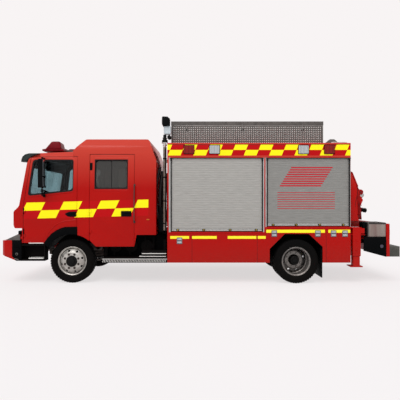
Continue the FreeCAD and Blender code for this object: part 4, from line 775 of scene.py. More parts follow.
def stripe(bm, place, z, y, side):
    """One taped stripe on a slat of the rear shutter: a slanted block above, a row of bars below."""
    if place != "rear":
        return
    for bottom, top, start, length, slant, half in STRIPES:
        if bottom < z < top:
            x = start + (z - bottom) * slant
            slab(bm, side, (x, x + length), (abs(y), abs(y) - 0.003), (z - half / 1.6, z + half / 1.6), 0)


def lifting_bar(word, side, place):
    """The bar at the curtain's foot, with its grip lip, rubber and turning latches."""
    name = f"{word}_{place}_shutter"
    low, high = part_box(name + "_bar")
    outer = face_of(low, high, side)
    bm, rubber, knobs = blank(3)
    deep, bottom, top = high[1] - low[1], low[2], high[2]
    rise = [(0.004, 0.012), (0.0, 0.016), (0.0, 0.026), (0.01, 0.03), (0.01, 0.046), (0.002, 0.05),
        (0.002, top - bottom), (deep, top - bottom), (deep, 0.012)]
    outline(bm, [(outer - side * u, bottom + v) for u, v in rise], low[0], high[0], "YZ", 0.0012, 1)
    outline(rubber, [(outer - side * u, bottom + v) for u, v in ((0.003, 0.0), (0.0, 0.013),
        (deep - 0.004, 0.013), (deep - 0.008, 0.0))], low[0], high[0], "YZ", 0.002)
    face, z = abs(outer), (bottom + top) / 2 + 0.004
    for x in LATCHES[place]:
        slab(rubber, side, (x - 0.026, x + 0.026), (face, face + 0.006), (z - 0.018, z + 0.018), 0.002)
        pin(knobs, x, z, outer + side * 0.004, outer + side * 0.014, 0.0145, 20, edge=0.002)
        slab(knobs, side, (x - 0.005, x + 0.005), (face + 0.012, face + 0.022), (z - 0.014, z + 0.014),
            0.002)
    pieces(name, name + "_", lifting_bar=(bm, rail_metal, name + "_bar"), bar_rubber=(rubber, seal_rubber),
        latches=(knobs, brass))


def shutters(word, side):
    for place in ("front", "rear"):
        count = slats(word, side, place)
        lifting_bar(word, side, place)
        print(word, place, "shutter with", count, "slats")


stem_sides(shutters)

# %% [markdown]
# ## Shutter rails, reflective tape and seams
# The curtain's ends run in aluminium rails with a black brush seal, and the skirt below is a row of panels
# with reflective yellow film along their upper edge. All of it is thin strip, proud of the skin by a
# millimetre or two: the film needs no cut in the panel, and a seam reads as a narrow dark line.

# %% Rails, tape, seams and the drip rail
body_low, body_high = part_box("body_shell")
SKIN = body_high[1]
OPENINGS = {place: (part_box(f"left_{place}_shutter_curtain"),
    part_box(f"left_{place}_shutter_bar")) for place in ("front", "rear")}
OPENING_TOP = 2.366
TAPE = ((-0.56, -0.205, 0.85, 0.902), (-0.15, 0.314, 0.85, 0.902), (0.521, 1.058, 0.85, 0.902),
    (1.086, 1.235, 0.85, 0.902), (1.246, 2.348, 0.963, 1.021), (2.412, 2.824, 0.963, 1.021))
SEAMS = ((-0.15, 0.402, 0.915), (1.077, 0.402, 0.915), (2.372, 0.402, 1.03), (1.24, 0.9, 1.03))


def strip(bm, x0, x1, z0, z1, proud, side, inset=0.0, edge=0.0006):
    """A flat strip on the body's side."""
    slab(bm, side, (x0, x1), (SKIN - inset, SKIN + proud), (z0, z1), edge, 1)


def body_trim(word, side):
    rails, brush, film, seams, grey = blank(5)
    for place, (curtain, bar) in OPENINGS.items():
        x0, x1, foot = curtain[0][0] - 0.001, curtain[1][0] + 0.001, bar[0][2]
        for edge, out in ((x0, -1), (x1, 1)):
            a, b = sorted((edge, edge + out * (0.038 if place == "front" or out < 0 else 0.012)))
            if place == "rear" and out < 0 or place == "front" and out > 0:
                a, b = sorted((edge, edge + out * 0.026))
            strip(rails, a, b, foot - 0.012, OPENING_TOP + 0.012, 0.0035, side, edge=0.001)
            a, b = sorted((edge + out * 0.004, edge - out * 0.018))
            strip(brush, a, b, foot - 0.004, OPENING_TOP + 0.003, 0.0055, side, inset=-0.0005)
            strip(brush, (a + b) / 2 - 0.016, (a + b) / 2 + 0.016, OPENING_TOP - 0.055, OPENING_TOP + 0.002,
                0.01, side, inset=-0.0005, edge=0.002)
        # Painted shadow: this black strip across each opening's head stands for the shade under the header.
        strip(brush, x0 - 0.02, x1 + 0.02, OPENING_TOP - 0.006, OPENING_TOP + 0.007, 0.008, side)
        strip(grey, x0 - 0.02, x1 + 0.02, foot - 0.03, foot - 0.006, 0.006, side, edge=0.002)
    for x0, x1, z0, z1 in TAPE:
        strip(film, x0, x1, z0, z1, 0.0012, side, edge=0.0004)
    for x, z0, z1 in SEAMS:
        strip(seams, x - 0.0025, x + 0.0025, z0, z1, 0.0006, side, edge=0)
    for x0, x1 in ((-0.604, -0.16), (-0.14, 1.068), (1.087, 1.235), (2.385, 2.822)):
        for x in (x0 + 0.03, x1 - 0.03):
            for z in (0.44, 0.8):
                pin(grey, x, z, side * (SKIN - 0.001), side * (SKIN + 0.003), 0.007, 10, edge=0.001)
    strip(grey, body_low[0] + 0.004, body_high[0] - 0.004, 2.628, 2.652, 0.006, side, edge=0.003)
    strip(seams, body_low[0] + 0.004, body_high[0] - 0.004, 2.618, 2.622, 0.0008, side, edge=0)
    pieces("chassis", word + "_", shutter_rails=(rails, rail_metal), shutter_brush=(brush, seal_rubber),
        yellow_tape=(film, yellow_film), skirt_seams=(seams, seal_rubber), body_edging=(grey, plain_red))


stem_sides(body_trim)
print("body trim made at y", round(SKIN, 3))

# %% [markdown]
# ## Side lamps and markers
# Four large warning lamps sit in the chequered band, each a ribbed lens in a dark bezel, and small grey
# sidelights are spaced along the skirt. The lens is its own piece, because clear plastic and its housing
# never share a finish. The lamps' places come from the CAD solids that they replace.

# %% Warning lamps, sidelights, headlamps and tail lamps
LAMP_Z = (2.44, 2.612)
WARNING = {"red": (-0.2075, 2.4325), "white": (0.2725, 1.9475)}
LAMP_HALF = 0.1025
MARKERS = ((-0.385, 0.813), (1.395, 0.948), (2.215, 0.948), (2.51, 0.948), (2.725, 0.948))


def side_lamps(word, side):
    bezel, frames = blank(2)
    lenses = {"red": bmesh.new(), "white": bmesh.new()}
    for colour, places in WARNING.items():
        for x in places:
            strip(bezel, x - LAMP_HALF, x + LAMP_HALF, *LAMP_Z, 0.012, side, edge=0.005)
            z0, z1 = LAMP_Z[0] + 0.009, LAMP_Z[1] - 0.009
            strip(lenses[colour], x - LAMP_HALF + 0.008, x + LAMP_HALF - 0.008, z0, z1, 0.026, side,
                edge=0.01)
            for u in (-0.06, 0.0, 0.06):
                strip(bezel, x + u - 0.001, x + u + 0.001, z0 + 0.012, z1 - 0.012, 0.0265, side, edge=0)
    for x, z in MARKERS:
        strip(frames, x - 0.052, x + 0.052, z - 0.061, z + 0.061, 0.012, side, edge=0.006)
        strip(frames, x - 0.04, x + 0.04, z - 0.006, z + 0.006, 0.017, side, edge=0.003)
        for part in (-0.028, 0.03):
            strip(lenses["white"], x - 0.04, x + 0.04, z + part - 0.017, z + part + 0.017, 0.018, side,
                edge=0.004)
    pieces("chassis", word + "_", lamp_bezels=(bezel, black_plastic), marker_frames=(frames, grey_plastic),
        red_warning_lenses=(lenses["red"], red_lens), clear_lenses=(lenses["white"], clear_lens))


def end_lamps():
    """Headlamps and fog lamps in the bumper, tail lamps on the bulkhead, warning lamps at the back."""
    clear, red, amber, dark, bright = blank(5)
    box(dark, (-3.438, -1.15, 0.925), (-3.395, -0.7, 0.997), 0.006)
    box(clear, (-3.446, -1.14, 0.931), (-3.42, -0.86, 0.991), 0.008)
    box(amber, (-3.446, -0.848, 0.931), (-3.42, -0.712, 0.991), 0.008)
    for y in (-1.075, -0.955):
        shaft(bright, y, 0.961, -3.43, -3.448, 0.016, 20, 0.026)
    box(dark, (-3.778, -0.86, 0.612), (-3.752, -0.64, 0.708), 0.006)
    shaft(clear, -0.75, 0.66, -3.77, -3.786, 0.04, 28, edge=0.005)
    shaft(bright, -0.75, 0.66, -3.768, -3.781, 0.044, 28, edge=0.002)
    box(dark, (3.578, -1.13, 0.9), (3.596, -0.81, 1.03), 0.006)
    for y0, y1, lens_of in ((-1.118, -1.02, red), (-1.012, -0.926, amber), (-0.918, -0.824, red)):
        box(lens_of, (3.59, y0, 0.912), (3.606, y1, 1.018), 0.005)
    box(dark, (2.832, -1.112, 2.428), (2.842, -0.848, 2.562), 0.005)
    box(red, (2.838, -1.1, 2.44), (2.852, -0.86, 2.55), 0.006)
    box(dark, (2.832, -1.112, 2.308), (2.842, -0.848, 2.402), 0.005)
    box(amber, (2.838, -1.1, 2.318), (2.85, -0.86, 2.392), 0.006)
    for bm in (clear, red, amber, dark, bright):
        mirrored(bm)
    pieces("chassis", "", end_lamp_housings=(dark, black_plastic, "lamps"),
        end_lamp_clear=(clear, clear_lens), end_lamp_red=(red, red_lens),
        end_lamp_amber=(amber, amber_lens), end_lamp_reflectors=(bright, chrome))


grey_plastic = grained("grey_plastic", (84, 86, 94), (108, 110, 118), 0.45, scale=80, bump=0.1)
stem_sides(side_lamps)
end_lamps()
print("lamps made")

# %% [markdown]
# ## Window rubbers and raised frames
# A pressed door has a raised lip round its window, and the glass sits in a rubber. Both are rings that
# follow the window's corners on a wall that leans inwards. Two closed loops with rounded corners are
# bridged into a flat ring, the ring gets a thickness, and its points are moved on to the leaning wall.

# %% Rings on the cab's wall
CAB_HALF, UPPER_HALF, BELT_Z, WALL_TOP_Z = 1.17, 1.11, 1.45, 2.364
FRONT_WINDOW = ((-3.235, 1.676), (-3.153, 2.325), (-2.399, 2.325), (-2.399, 1.765))
CREW_WINDOW = ((-1.997, 1.786), (-1.997, 2.349), (-1.367, 2.349), (-1.367, 1.786))


def wall_y(z):
    """How far out the cab's side wall stands at a height."""
    return CAB_HALF - max(0.0, z - BELT_Z) * (CAB_HALF - UPPER_HALF) / (WALL_TOP_Z - BELT_Z)


def loop(bm, corners, grow, radius, steps=4):
    """A closed ring of edges in the XZ plane: the corners grown about their middle, then rounded."""
    wide = [max(c[i] for c in corners) - min(c[i] for c in corners) for i in (0, 1)]
    middle = [(max(c[i] for c in corners) + min(c[i] for c in corners)) / 2 for i in (0, 1)]
    scale = [(w + 2 * grow) / w for w in wide]
    before = set(bm.edges)
    verts = [bm.verts.new((middle[0] + (x - middle[0]) * scale[0], 0,
        middle[1] + (z - middle[1]) * scale[1])) for x, z in corners]
    bm.faces.new(verts)
    bevel(bm, verts, radius, steps, "VERTICES")
    edges = [e for e in bm.edges if e not in before]
    bmesh.ops.delete(bm, geom=list({f for e in edges for f in e.link_faces}), context="FACES_ONLY")
    return [e for e in edges if e.is_valid]


def flat_ring(bm, corners, grow, shrink, radii, steps):
    """Bridge an outer and an inner loop, double the sheet, and give back the doubled points."""
    edges = loop(bm, corners, grow, radii[0], steps) + loop(bm, corners, -shrink, radii[1], steps)
    flat = bmesh.ops.bridge_loops(bm, edges=edges)["faces"]
    made = bmesh.ops.extrude_face_region(bm, geom=flat)["geom"]
    return {g for g in made if isinstance(g, bmesh.types.BMVert)}


def ring(bm, corners, grow, shrink, radii, near, far, side, edge=0.002):
    """A ring of sheet between two rounded loops, from near to far outside the leaning wall."""
    before = set(bm.verts)
    outer = flat_ring(bm, corners, grow, shrink, radii, 4)
    for vert in set(bm.verts) - before:
        vert.co.y = side * (wall_y(vert.co.z) + (far if vert in outer else near))
    round_edges(bm, list(set(bm.verts) - before), edge, 2)


def windows(word, side):
    lip, rubber, bars = blank(3)
    ring(lip, FRONT_WINDOW, 0.05, -0.022, (0.075, 0.06), -0.004, 0.007, side, edge=0.004)
    ring(rubber, FRONT_WINDOW, 0.023, 0.014, (0.046, 0.055), -0.03, 0.003, side)
    pieces(word + "_front_door", word + "_", front_window_lip=(lip, cab_red),
        front_window_rubber=(rubber, seal_rubber))
    lip, rubber = blank(2)
    ring(lip, CREW_WINDOW, 0.042, -0.016, (0.055, 0.04), -0.004, 0.006, side, edge=0.004)
    ring(rubber, CREW_WINDOW, 0.017, 0.016, (0.034, 0.045), -0.03, 0.004, side)
    ring(bars, CREW_WINDOW, -0.01, 0.026, (0.045, 0.045), -0.034, -0.018, side)
    middle = (CREW_WINDOW[0][0] + CREW_WINDOW[2][0]) / 2
    bar = box(bars, (middle - 0.006, -0.004, 1.792), (middle + 0.006, 0.008, 2.345), 0.002)
    for vert in bar:
        vert.co.y = side * (wall_y(vert.co.z) - 0.024 + vert.co.y)
    pieces(word + "_crew_door", word + "_", crew_window_lip=(lip, cab_red),
        crew_window_rubber=(rubber, seal_rubber), crew_window_slider=(bars, seal_rubber))


rail_dark = grained("dark_anodised", (48, 48, 46), (66, 66, 64), 0.4, 0.5, scale=30, bump=0.03)
stem_sides(windows)
print("window rings made")

# %% [markdown]
# ## Door furniture, flares and grab rails
# Black handles sit in shallow scoops, a plastic flare follows the front wheel and a pressed crease repeats
# its line on the door above. The flare is an outline with the wheel's arc cut out of it, so its lower edge
# stays round while its upper edge keeps the straight runs of the real moulding.

# %% Handles, flare, crease, rail and hinges
HANDLES = {"front": (-2.544, -2.335, 1.262, 1.362), "crew": (-1.491, -1.293, 1.267, 1.372)}
FLARE_TOP = ((-2.945, 0.765), (-2.88, 0.86), (-2.8, 0.945), (-2.713, 1.005), (-2.63, 1.046), (-2.54, 1.07),
    (-2.318, 1.074))
CREASE = ((-2.9, 0.9), (-2.82, 1.02), (-2.726, 1.11), (-2.62, 1.165), (-2.5, 1.192), (-2.334, 1.2))
WING = ((-2.314, 1.072), (-2.314, 0.917), (-2.26, 0.902), (-2.205, 0.879), (-2.15, 0.848), (-2.1, 0.81),
    (-2.1, 0.835))
WHEEL_ARC = 0.512


def side_box(bm, x0, x1, z0, z1, near, far, side, edge=0.002):
    """A box standing on the cab's side wall."""
    slab(bm, side, (x0, x1), (near, far), (z0, z1), edge)


def handle(bm, x0, x1, z0, z1, side, tapered):
    """A scoop plate, tapered to its front or square, with a pull lever over it."""
    high = z1 - z0
    plate = [(x1 - 0.01, z0), (x1, z0 + 0.01), (x1, z1 - 0.01), (x1 - 0.01, z1)]
    if tapered:
        plate += [(x0 + 0.07, z1 - 0.06 * high), (x0, z0 + 0.62 * high), (x0, z0 + 0.45 * high),
            (x0 + 0.045, z0 + 0.1 * high), (x0 + 0.09, z0)]
    else:
        plate += [(x0 + 0.01, z1), (x0, z1 - 0.01), (x0, z0 + 0.01), (x0 + 0.01, z0)]
    outline(bm, plate, *across(side, CAB_HALF - 0.004, CAB_HALF + 0.009), "XZ", 0.004)
    side_box(bm, x0 + 0.05, x1 - 0.02, z1 - 0.044, z1 - 0.018, CAB_HALF + 0.006, CAB_HALF + 0.026, side,
        0.007)
    pin(bm, x1 - 0.03, z0 + 0.03, side * (CAB_HALF + 0.006), side * (CAB_HALF + 0.014), 0.011, 16,
        edge=0.002)


def arc_points(radius, start, end, steps):
    """Points on the wheel arch's arc, for the lower edge of a flare."""
    turn = Matrix.Rotation((end - start) / steps, 3, "Y")
    spot = Matrix.Rotation(start, 3, "Y") @ Vector((0, 0, radius))
    points = []
    for _ in range(steps + 1):
        points.append((FRONT_AXLE_X + spot.x, TYRE_RADIUS + spot.z))
        spot = turn @ spot
    return points


def door_furniture(word, side):
    black = bmesh.new()
    handle(black, *HANDLES["front"], side, True)
    for z in (0.93, 1.32):
        side_box(black, -3.338, -3.318, z, z + 0.11, CAB_HALF - 0.004, CAB_HALF + 0.01, side)
    piece(word + "_front_door_handle", black, word + "_front_door", black_plastic)
    black = bmesh.new()
    handle(black, *HANDLES["crew"], side, False)
    y = wall_y(2.21)
    side_box(black, -2.086, -2.04, 2.143, 2.284, y - 0.012, y + 0.014, side, 0.005)
    piece(word + "_crew_door_handle", black, word + "_crew_door", black_plastic)
    flare = bmesh.new()
    low = arc_points(WHEEL_ARC, math.radians(12), math.radians(-59), 12)
    outline(flare, list(FLARE_TOP) + low, *across(side, 1.1, 1.1795), "XZ", 0.003)
    inner = arc_points(WHEEL_ARC, math.radians(40), math.radians(-59), 16)
    outer = arc_points(WHEEL_ARC + 0.012, math.radians(-59), math.radians(40), 16)
    outline(flare, inner + outer, *across(side, 0.7, 1.15), "XZ")
    piece(word + "_wheel_flare", flare, "chassis", flare_black)
    rail = bmesh.new()
    y = side * (CAB_HALF + 0.045)
    pipe(rail, [(-1.239, side * CAB_HALF, 1.166), (-1.239, y, 1.175), (-1.239, y, 1.22), (-1.239, y, 1.45),
        (-1.239, side * (wall_y(1.8) + 0.045), 1.8), (-1.239, side * (wall_y(1.85) + 0.045), 1.852),
        (-1.239, side * wall_y(1.86), 1.861)], 0.0095, 12)
    for z in (1.166, 1.861):
        pin(rail, -1.239, z, side * (wall_y(z) - 0.004), side * (wall_y(z) + 0.01), 0.02, 20, edge=0.003)
    piece(word + "_grab_rail", rail, "cab", rail_dark)
    wing = bmesh.new()
    outline(wing, WING, *across(side, 1.1, 1.1715), "XZ", 0.003)
    piece(word + "_wing", wing, "cab", plain_red)
    crease = bmesh.new()
    pipe(crease, [(x, side * (CAB_HALF - 0.003), z) for x, z in CREASE], 0.012, 12)
    piece(word + "_door_crease", crease, word + "_front_door", plain_red)
    seams = bmesh.new()
    for x0, x1, z0, z1 in ((-0.985, -0.978, 1.0, 2.3), (-2.18, -2.176, 1.03, 2.3)):
        bar = box(seams, (x0, -0.002, z0), (x1, 0.0015, z1), 0.0008, 1)
        for vert in bar:
            vert.co.y = side * (wall_y(vert.co.z) + vert.co.y)
    piece(word + "_cab_ribs", seams, "cab", plain_red)
    lamp = bmesh.new()
    side_box(lamp, -1.01, -0.955, 1.2, 1.222, CAB_HALF - 0.002, CAB_HALF + 0.012, side, 0.005)
    piece(word + "_cab_sidelight", lamp, "cab", amber_lens)


flare_black = grained("flare_plastic", (3, 4, 5), (8, 9, 10), 0.7, scale=120, bump=0.25, specular=0.04)
stem_sides(door_furniture)
print("door furniture made")

# %% [markdown]
# ## The cab's face
# Seen from the front, the cab has a wide screen in a rubber, two wipers parked along its foot, a slatted
# grille and panel seams. The screen leans back, so its rubber and wipers are built flat and then sheared
# to the same slope as the glass.

# %% Windscreen rubber, wipers, grille and panel lines
glass_low, glass_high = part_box("cab_glass")
LEAN = (glass_high[0] - glass_low[0] - 0.007) / (glass_high[2] - glass_low[2])
face_low, face_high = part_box("front_grille")


def screen_x(z):
    """The outer face of the windscreen at a height."""
    return glass_low[0] + (z - glass_low[2]) * LEAN


def screen_ring(bm, grow, shrink, radii, near, far, edge=0.003):
    """A ring round the windscreen, from near to far in front of the glass."""
    half, z0, z1 = glass_high[1], glass_low[2], glass_high[2]
    corners = [(-half, z0), (-half, z1), (half, z1), (half, z0)]
    before = set(bm.verts)
    outer = flat_ring(bm, corners, grow, shrink, radii, 5)
    for vert in set(bm.verts) - before:
        y, z = vert.co.x, vert.co.z
        vert.co = (screen_x(z) - (far if vert in outer else near), y, z)
    round_edges(bm, list(set(bm.verts) - before), edge, 2)


def wiper(bm, hub_y, tip_y):
    """Spindle, arm and blade, lying along the foot of the screen."""
    z0, z1 = 1.475, 1.545
    at = Vector((screen_x(z0) - 0.02, hub_y, z0))
    to = Vector((screen_x(z1) - 0.022, tip_y, z1))
    rod(bm, at + Vector((0.03, 0, 0)), at - Vector((0.016, 0, 0)), 0.021, 20, edge=0.004)
    pipe(bm, [at, at.lerp(to, 0.3) - Vector((0.008, 0, 0)), to], 0.008, 8)
    reach = (to - at) * 0.42
    rod(bm, to - reach + Vector((0.006, 0, -0.006)), to + reach + Vector((0.006, 0, 0.012)), 0.009, 8)


def cab_face():
    rubber, frame_lip, black = blank(3)
    screen_ring(rubber, 0.03, 0.03, (0.07, 0.07), -0.03, 0.016)
    screen_ring(frame_lip, 0.075, -0.028, (0.11, 0.07), -0.004, 0.014, 0.006)
    pieces("cab", "", screen_rubber=(rubber, seal_rubber), screen_surround=(frame_lip, plain_red))
    for hub, tip in ((-0.72, -0.3), (-0.06, 0.36), (0.6, 0.86)):
        wiper(black, hub, tip)
    x0 = face_low[0]
    half, z0, z1 = face_high[1], face_low[2], face_high[2]
    box(black, (x0 + 0.002, -half, z0), (x0 + 0.014, half, z1), 0.004)
    for number in range(5):
        z = z0 + (number + 0.5) * (z1 - z0) / 5
        leaf = box(black, (x0 - 0.012, -half + 0.01, z - 0.004), (x0 + 0.008, half - 0.01, z + 0.01), 0.003)
        for vert in leaf:
            vert.co.z += (vert.co.x - x0) * 0.35
    for y in (-half + 0.006, -0.28, 0.28, half - 0.006):
        box(black, (x0 - 0.01, y - 0.008, z0), (x0 + 0.008, y + 0.008, z1), 0.003)
    piece("grille_and_wipers", black, "cab", black_plastic, ["front_grille"])
    lines = bmesh.new()
    for z in (1.1, 1.385):
        box(lines, (-3.5225, -1.13, z), (-3.518, 1.13, z + 0.005), 0.001, 1)
    for y in (-0.93, 0.93):
        box(lines, (-3.5225, y - 0.0025, 1.1), (-3.518, y + 0.0025, 1.385), 0.001, 1)
    piece("face_seams", lines, "cab", seal_rubber)


cab_face()
print("cab face made, screen lean", round(LEAN, 3))

# %% [markdown]
# ## Roof lights and sun visor
# The light bar is a shallow V of red plastic on a tray: two tall pods and a low middle, each sloping down to
# the front. Each plan is extruded and its top points are moved, which gives the slopes without a second
# shape. The visor's tinted ends wrap round the cab's upper corners.

# %% Light bar and visor ends
BAR_PLAN = ((-3.09, -0.868), (-3.128, -0.3), (-3.128, 0.3), (-3.09, 0.868), (-2.672, 0.868), (-2.765, 0.3),
    (-2.765, -0.3), (-2.672, -0.868))
TRAY_TOP, DOME_TOP = 2.578, 2.734
BAR_REACH = 0.165


def bar_middle(y):
    """The light bar's centre line in X at a place across the truck."""
    part = max(0.0, (abs(y) - 0.3) / 0.568)
    return (-3.128 - 2.765) / 2 + part * ((-3.09 - 2.672) / 2 + (3.128 + 2.765) / 2)


def roof_lights():
    tray, dome, feet, cells = blank(4)
    outline(tray, BAR_PLAN, 2.54, TRAY_TOP, "XY", 0.008)
    for start, end, top, lean in ((-0.4, 0.4, 2.652, 0.06), (-0.855, -0.41, DOME_TOP, 0.13),
            (0.41, 0.855, DOME_TOP, 0.13)):
        plan = [(bar_middle(y) + reach * BAR_REACH, y) for y, reach in ((start, -1), (end, -1), (end, 1),
            (start, 1))]
        verts = outline(dome, plan, TRAY_TOP - 0.004, top, "XY")
        for vert in verts:
            if vert.co.z > TRAY_TOP:
                vert.co.x += lean if vert.co.x < bar_middle(vert.co.y) else -0.035
                vert.co.y += math.copysign(0.02, (start + end) / 2 - vert.co.y)
        round_edges(dome, verts, 0.03, 6, 0.3)
    for side in (-1, 1):
        for y in (0.72, 0.46):
            x = bar_middle(y)
            post(cells, x, side * y, TRAY_TOP, TRAY_TOP + 0.08, 0.055, 24, 0.046)
        box(feet, (-2.9, side * 0.63 - 0.07, 2.485), (-2.75, side * 0.63 + 0.07, 2.545), 0.008)
    for y in (-0.29, 0.0, 0.29):
        box(feet, (-3.13, y - 0.006, 2.565), (-3.03, y + 0.006, 2.62), 0.004)
    for y in (-0.868, -0.584, -0.3, 0.3, 0.584, 0.868):
        x = bar_middle(y)
        box(tray, (x - 0.165, y - 0.006, TRAY_TOP - 0.012), (x + 0.165, y + 0.006, TRAY_TOP + 0.004), 0.002)
    piece("light_bar_dome", dome, "cab", dome_red, ["light_bar"])
    for side in (-1, 1):
        outline(feet, [(-2.8, 2.56), (-2.62, 2.59), (-2.43, 2.53), (-2.43, 2.5), (-2.8, 2.5)],
            *across(side, 0.4, 0.6), "XZ", 0.006)
    pieces("cab", "", light_bar_tray=(tray, dome_red), light_bar_cells=(cells, chrome),
        light_bar_feet=(feet, rail_dark))
    bm = bmesh.new()
    cap = [(-3.4, 2.302), (-3.398, 2.345), (-3.375, 2.405), (-3.325, 2.448), (-3.25, 2.468), (-3.06, 2.468),
        (-3.12, 2.44), (-3.215, 2.405), (-3.275, 2.352), (-3.305, 2.302)]
    for side in (-1, 1):
        outline(bm, cap, *across(side, 0.97, 1.118), "XZ", 0.008)
    piece("visor_ends", bm, "cab", visor_plastic)


dome_red = grained("dome_red", (98, 0, 12), (126, 2, 20), 0.42, scale=14, bump=0.01, specular=0.12)
roof_lights()
print("roof lights made")

# %% [markdown]
# ## Bumper deck, steps and mirror glass
# The bumper carries a sloping deck of tread plate in front of the headlamps and opens to a dark step well
# at each side, with bar treads. Under the crew cab runs a long step of pierced plate. These wear first on
# a real truck, so they get bright, raised edges.

# %% Deck, step treads, side steps and mirror faces
def deck_and_steps():
    pale, dark, tread = blank(3)
    outline(pale, [(-3.655, 0.82), (-3.655, 0.832), (-3.44, 0.932), (-3.43, 0.932), (-3.43, 0.905)], -1.165,
        1.165, "XZ", 0.002)
    for y in range(-10, 11):
        for x in range(5):
            spot = Vector((-3.635 + 0.045 * x, 0.105 * y + 0.05 * (x % 2), 0.8335 + 0.0209 * x))
            lug = bmesh.ops.create_cone(tread, cap_ends=True, segments=4, radius1=0.017, radius2=0.011,
                depth=0.005)["verts"]
            bmesh.ops.scale(tread, vec=(1.0, 0.36, 1), verts=lug)
            turn = Matrix.Rotation(math.radians(45 if (x + y) % 2 else -45), 4, "Z")
            slope = Matrix.Rotation(-math.atan(0.465), 4, "Y")
            bmesh.ops.transform(tread, matrix=Matrix.Translation(spot) @ slope @ turn, verts=lug)
    for side in (-1, 1):
        outline(pale, [(-3.655, 0.822), (-3.44, 0.924), (-3.394, 0.924), (-3.394, 0.822)],
            *across(side, 1.174, 1.1785), "XZ", 0.001)
        outline(dark, [(-3.545, 0.822), (-3.366, 0.822), (-3.366, 0.432), (-3.47, 0.432), (-3.545, 0.52)],
            *across(side, 1.174, 1.1785), "XZ", 0.001)
        pin(pale, -3.455, 0.56, side * 1.17, side * 1.184, 0.026, 20, edge=0.003)
        pin(dark, -3.455, 0.56, side * 1.18, side * 1.19, 0.013, 6)
        pipe(dark, [(-3.53, side * 1.18, 0.74), (-3.49, side * 1.187, 0.7), (-3.44, side * 1.187, 0.72),
            (-3.41, side * 1.18, 0.66)], 0.01, 8)
        rod(pale, (-3.5, side * 1.176, 0.475), (-3.42, side * 1.176, 0.452), 0.009, 10)
        for z in (0.487, 0.774):
            a, b = across(side, 1.02, 1.171)
            box(tread, (-3.235, a, z - 0.018), (-2.955, b, z), 0.003)
            for x in spaced(9, -3.222, 0.031):
                box(tread, (x, a + 0.01, z - 0.002), (x + 0.012, b - 0.01, z + 0.005), 0.002, 1)
        a, b = across(side, 0.88, 1.171)
        box(tread, (-1.846, a, 0.458), (-0.62, b, 0.47), 0.003)
        for x in spaced(40, -1.834, 0.0302):
            box(tread, (x, a + 0.015, 0.466), (x + 0.011, b - 0.01, 0.476), 0.002, 1)
            lean = box(tread, (x, -0.001, 0.404), (x + 0.01, 0.002, 0.452), 0.001, 1)
            for vert in lean:
                vert.co.x += (vert.co.z - 0.43) * 0.35
                vert.co.y = side * (1.1715 + vert.co.y)
        slab(tread, side, (-1.15, -0.64), (1.08, 1.171), (0.508, 0.52), 0.003)
        slab(tread, side, (-1.097, -0.637), (1.08, 1.171), (0.56, 0.575), 0.003)
        a, b = across(side, 0.868, 0.876)
        box(dark, (-1.88, a, 0.44), (-0.625, b, 0.905), 0.003)
        for x in spaced(7, -1.78, 0.18):
            slab(dark, side, (x, x + 0.03), (0.872, 0.89), (0.46, 0.88), 0.005)
    pieces("chassis", "", bumper_deck=(pale, tread_metal), step_shadow_panels=(dark, flare_black),
        treads=(tread, tread_lug))


def mirror_glass(word, side):
    low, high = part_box(word + "_mirror")
    head_low, head_high = (1.225, 1.385) if side > 0 else (-1.385, -1.225)
    bm, back = blank(2)
    x = high[0]
    box(bm, (x - 0.002, head_low, 2.02), (x + 0.003, head_high, 2.318), 0.002)
    box(bm, (x - 0.002, head_low, 1.83), (x + 0.003, head_high, 2.0), 0.002)
    piece(word + "_mirror_glass", bm, word + "_front_door", mirror_face)
    for z in (1.655, 1.7):
        pin(back, low[0] + 0.03, z, side * (wall_y(z) - 0.004), side * (wall_y(z) + 0.018), 0.03, 18, 0.02,
            0.003)
    piece(word + "_mirror_foot", back, word + "_front_door", black_plastic)


deck_and_steps()
stem_sides(mirror_glass)
print("deck, steps and mirrors made")

# %% [markdown]
# ## Tread plate on the roof lockers
# Chequer plate is rolled with raised lozenges that lean left and right in turn. One lozenge is a flat cone
# of four sides, squeezed narrow. A row is made once and then added again and again, which is quick, and the
# lozenges are real relief, so they catch light at any distance and from any angle.

# %% Lozenges over a flat plate
LUG_PITCH = 0.042
LUG_LONG, LUG_WIDE, LUG_HIGH = 0.0205, 0.0085, 0.0032


def lug_row(length):
    """One row of lozenges along X, alternating in their lean."""
    row = bmesh.new()
    count = max(1, int((length - 0.02) / LUG_PITCH))
    first = (length - (count - 1) * LUG_PITCH) / 2
    for number in range(count):
        verts = bmesh.ops.create_cone(row, cap_ends=True, segments=4, radius1=1, radius2=0.62,
            depth=1)["verts"]
        bmesh.ops.scale(row, vec=(LUG_LONG, LUG_WIDE, LUG_HIGH), verts=verts)
        lean = math.radians(45 if number % 2 else -45)
        spot = Matrix.Translation((first + number * LUG_PITCH, 0, LUG_HIGH / 2 - 0.0002))
        bmesh.ops.transform(row, matrix=spot @ Matrix.Rotation(lean, 4, "Z"), verts=verts)
    mesh = bpy.data.meshes.new("lug_row")
    row.to_mesh(mesh)
    row.free()
    return mesh


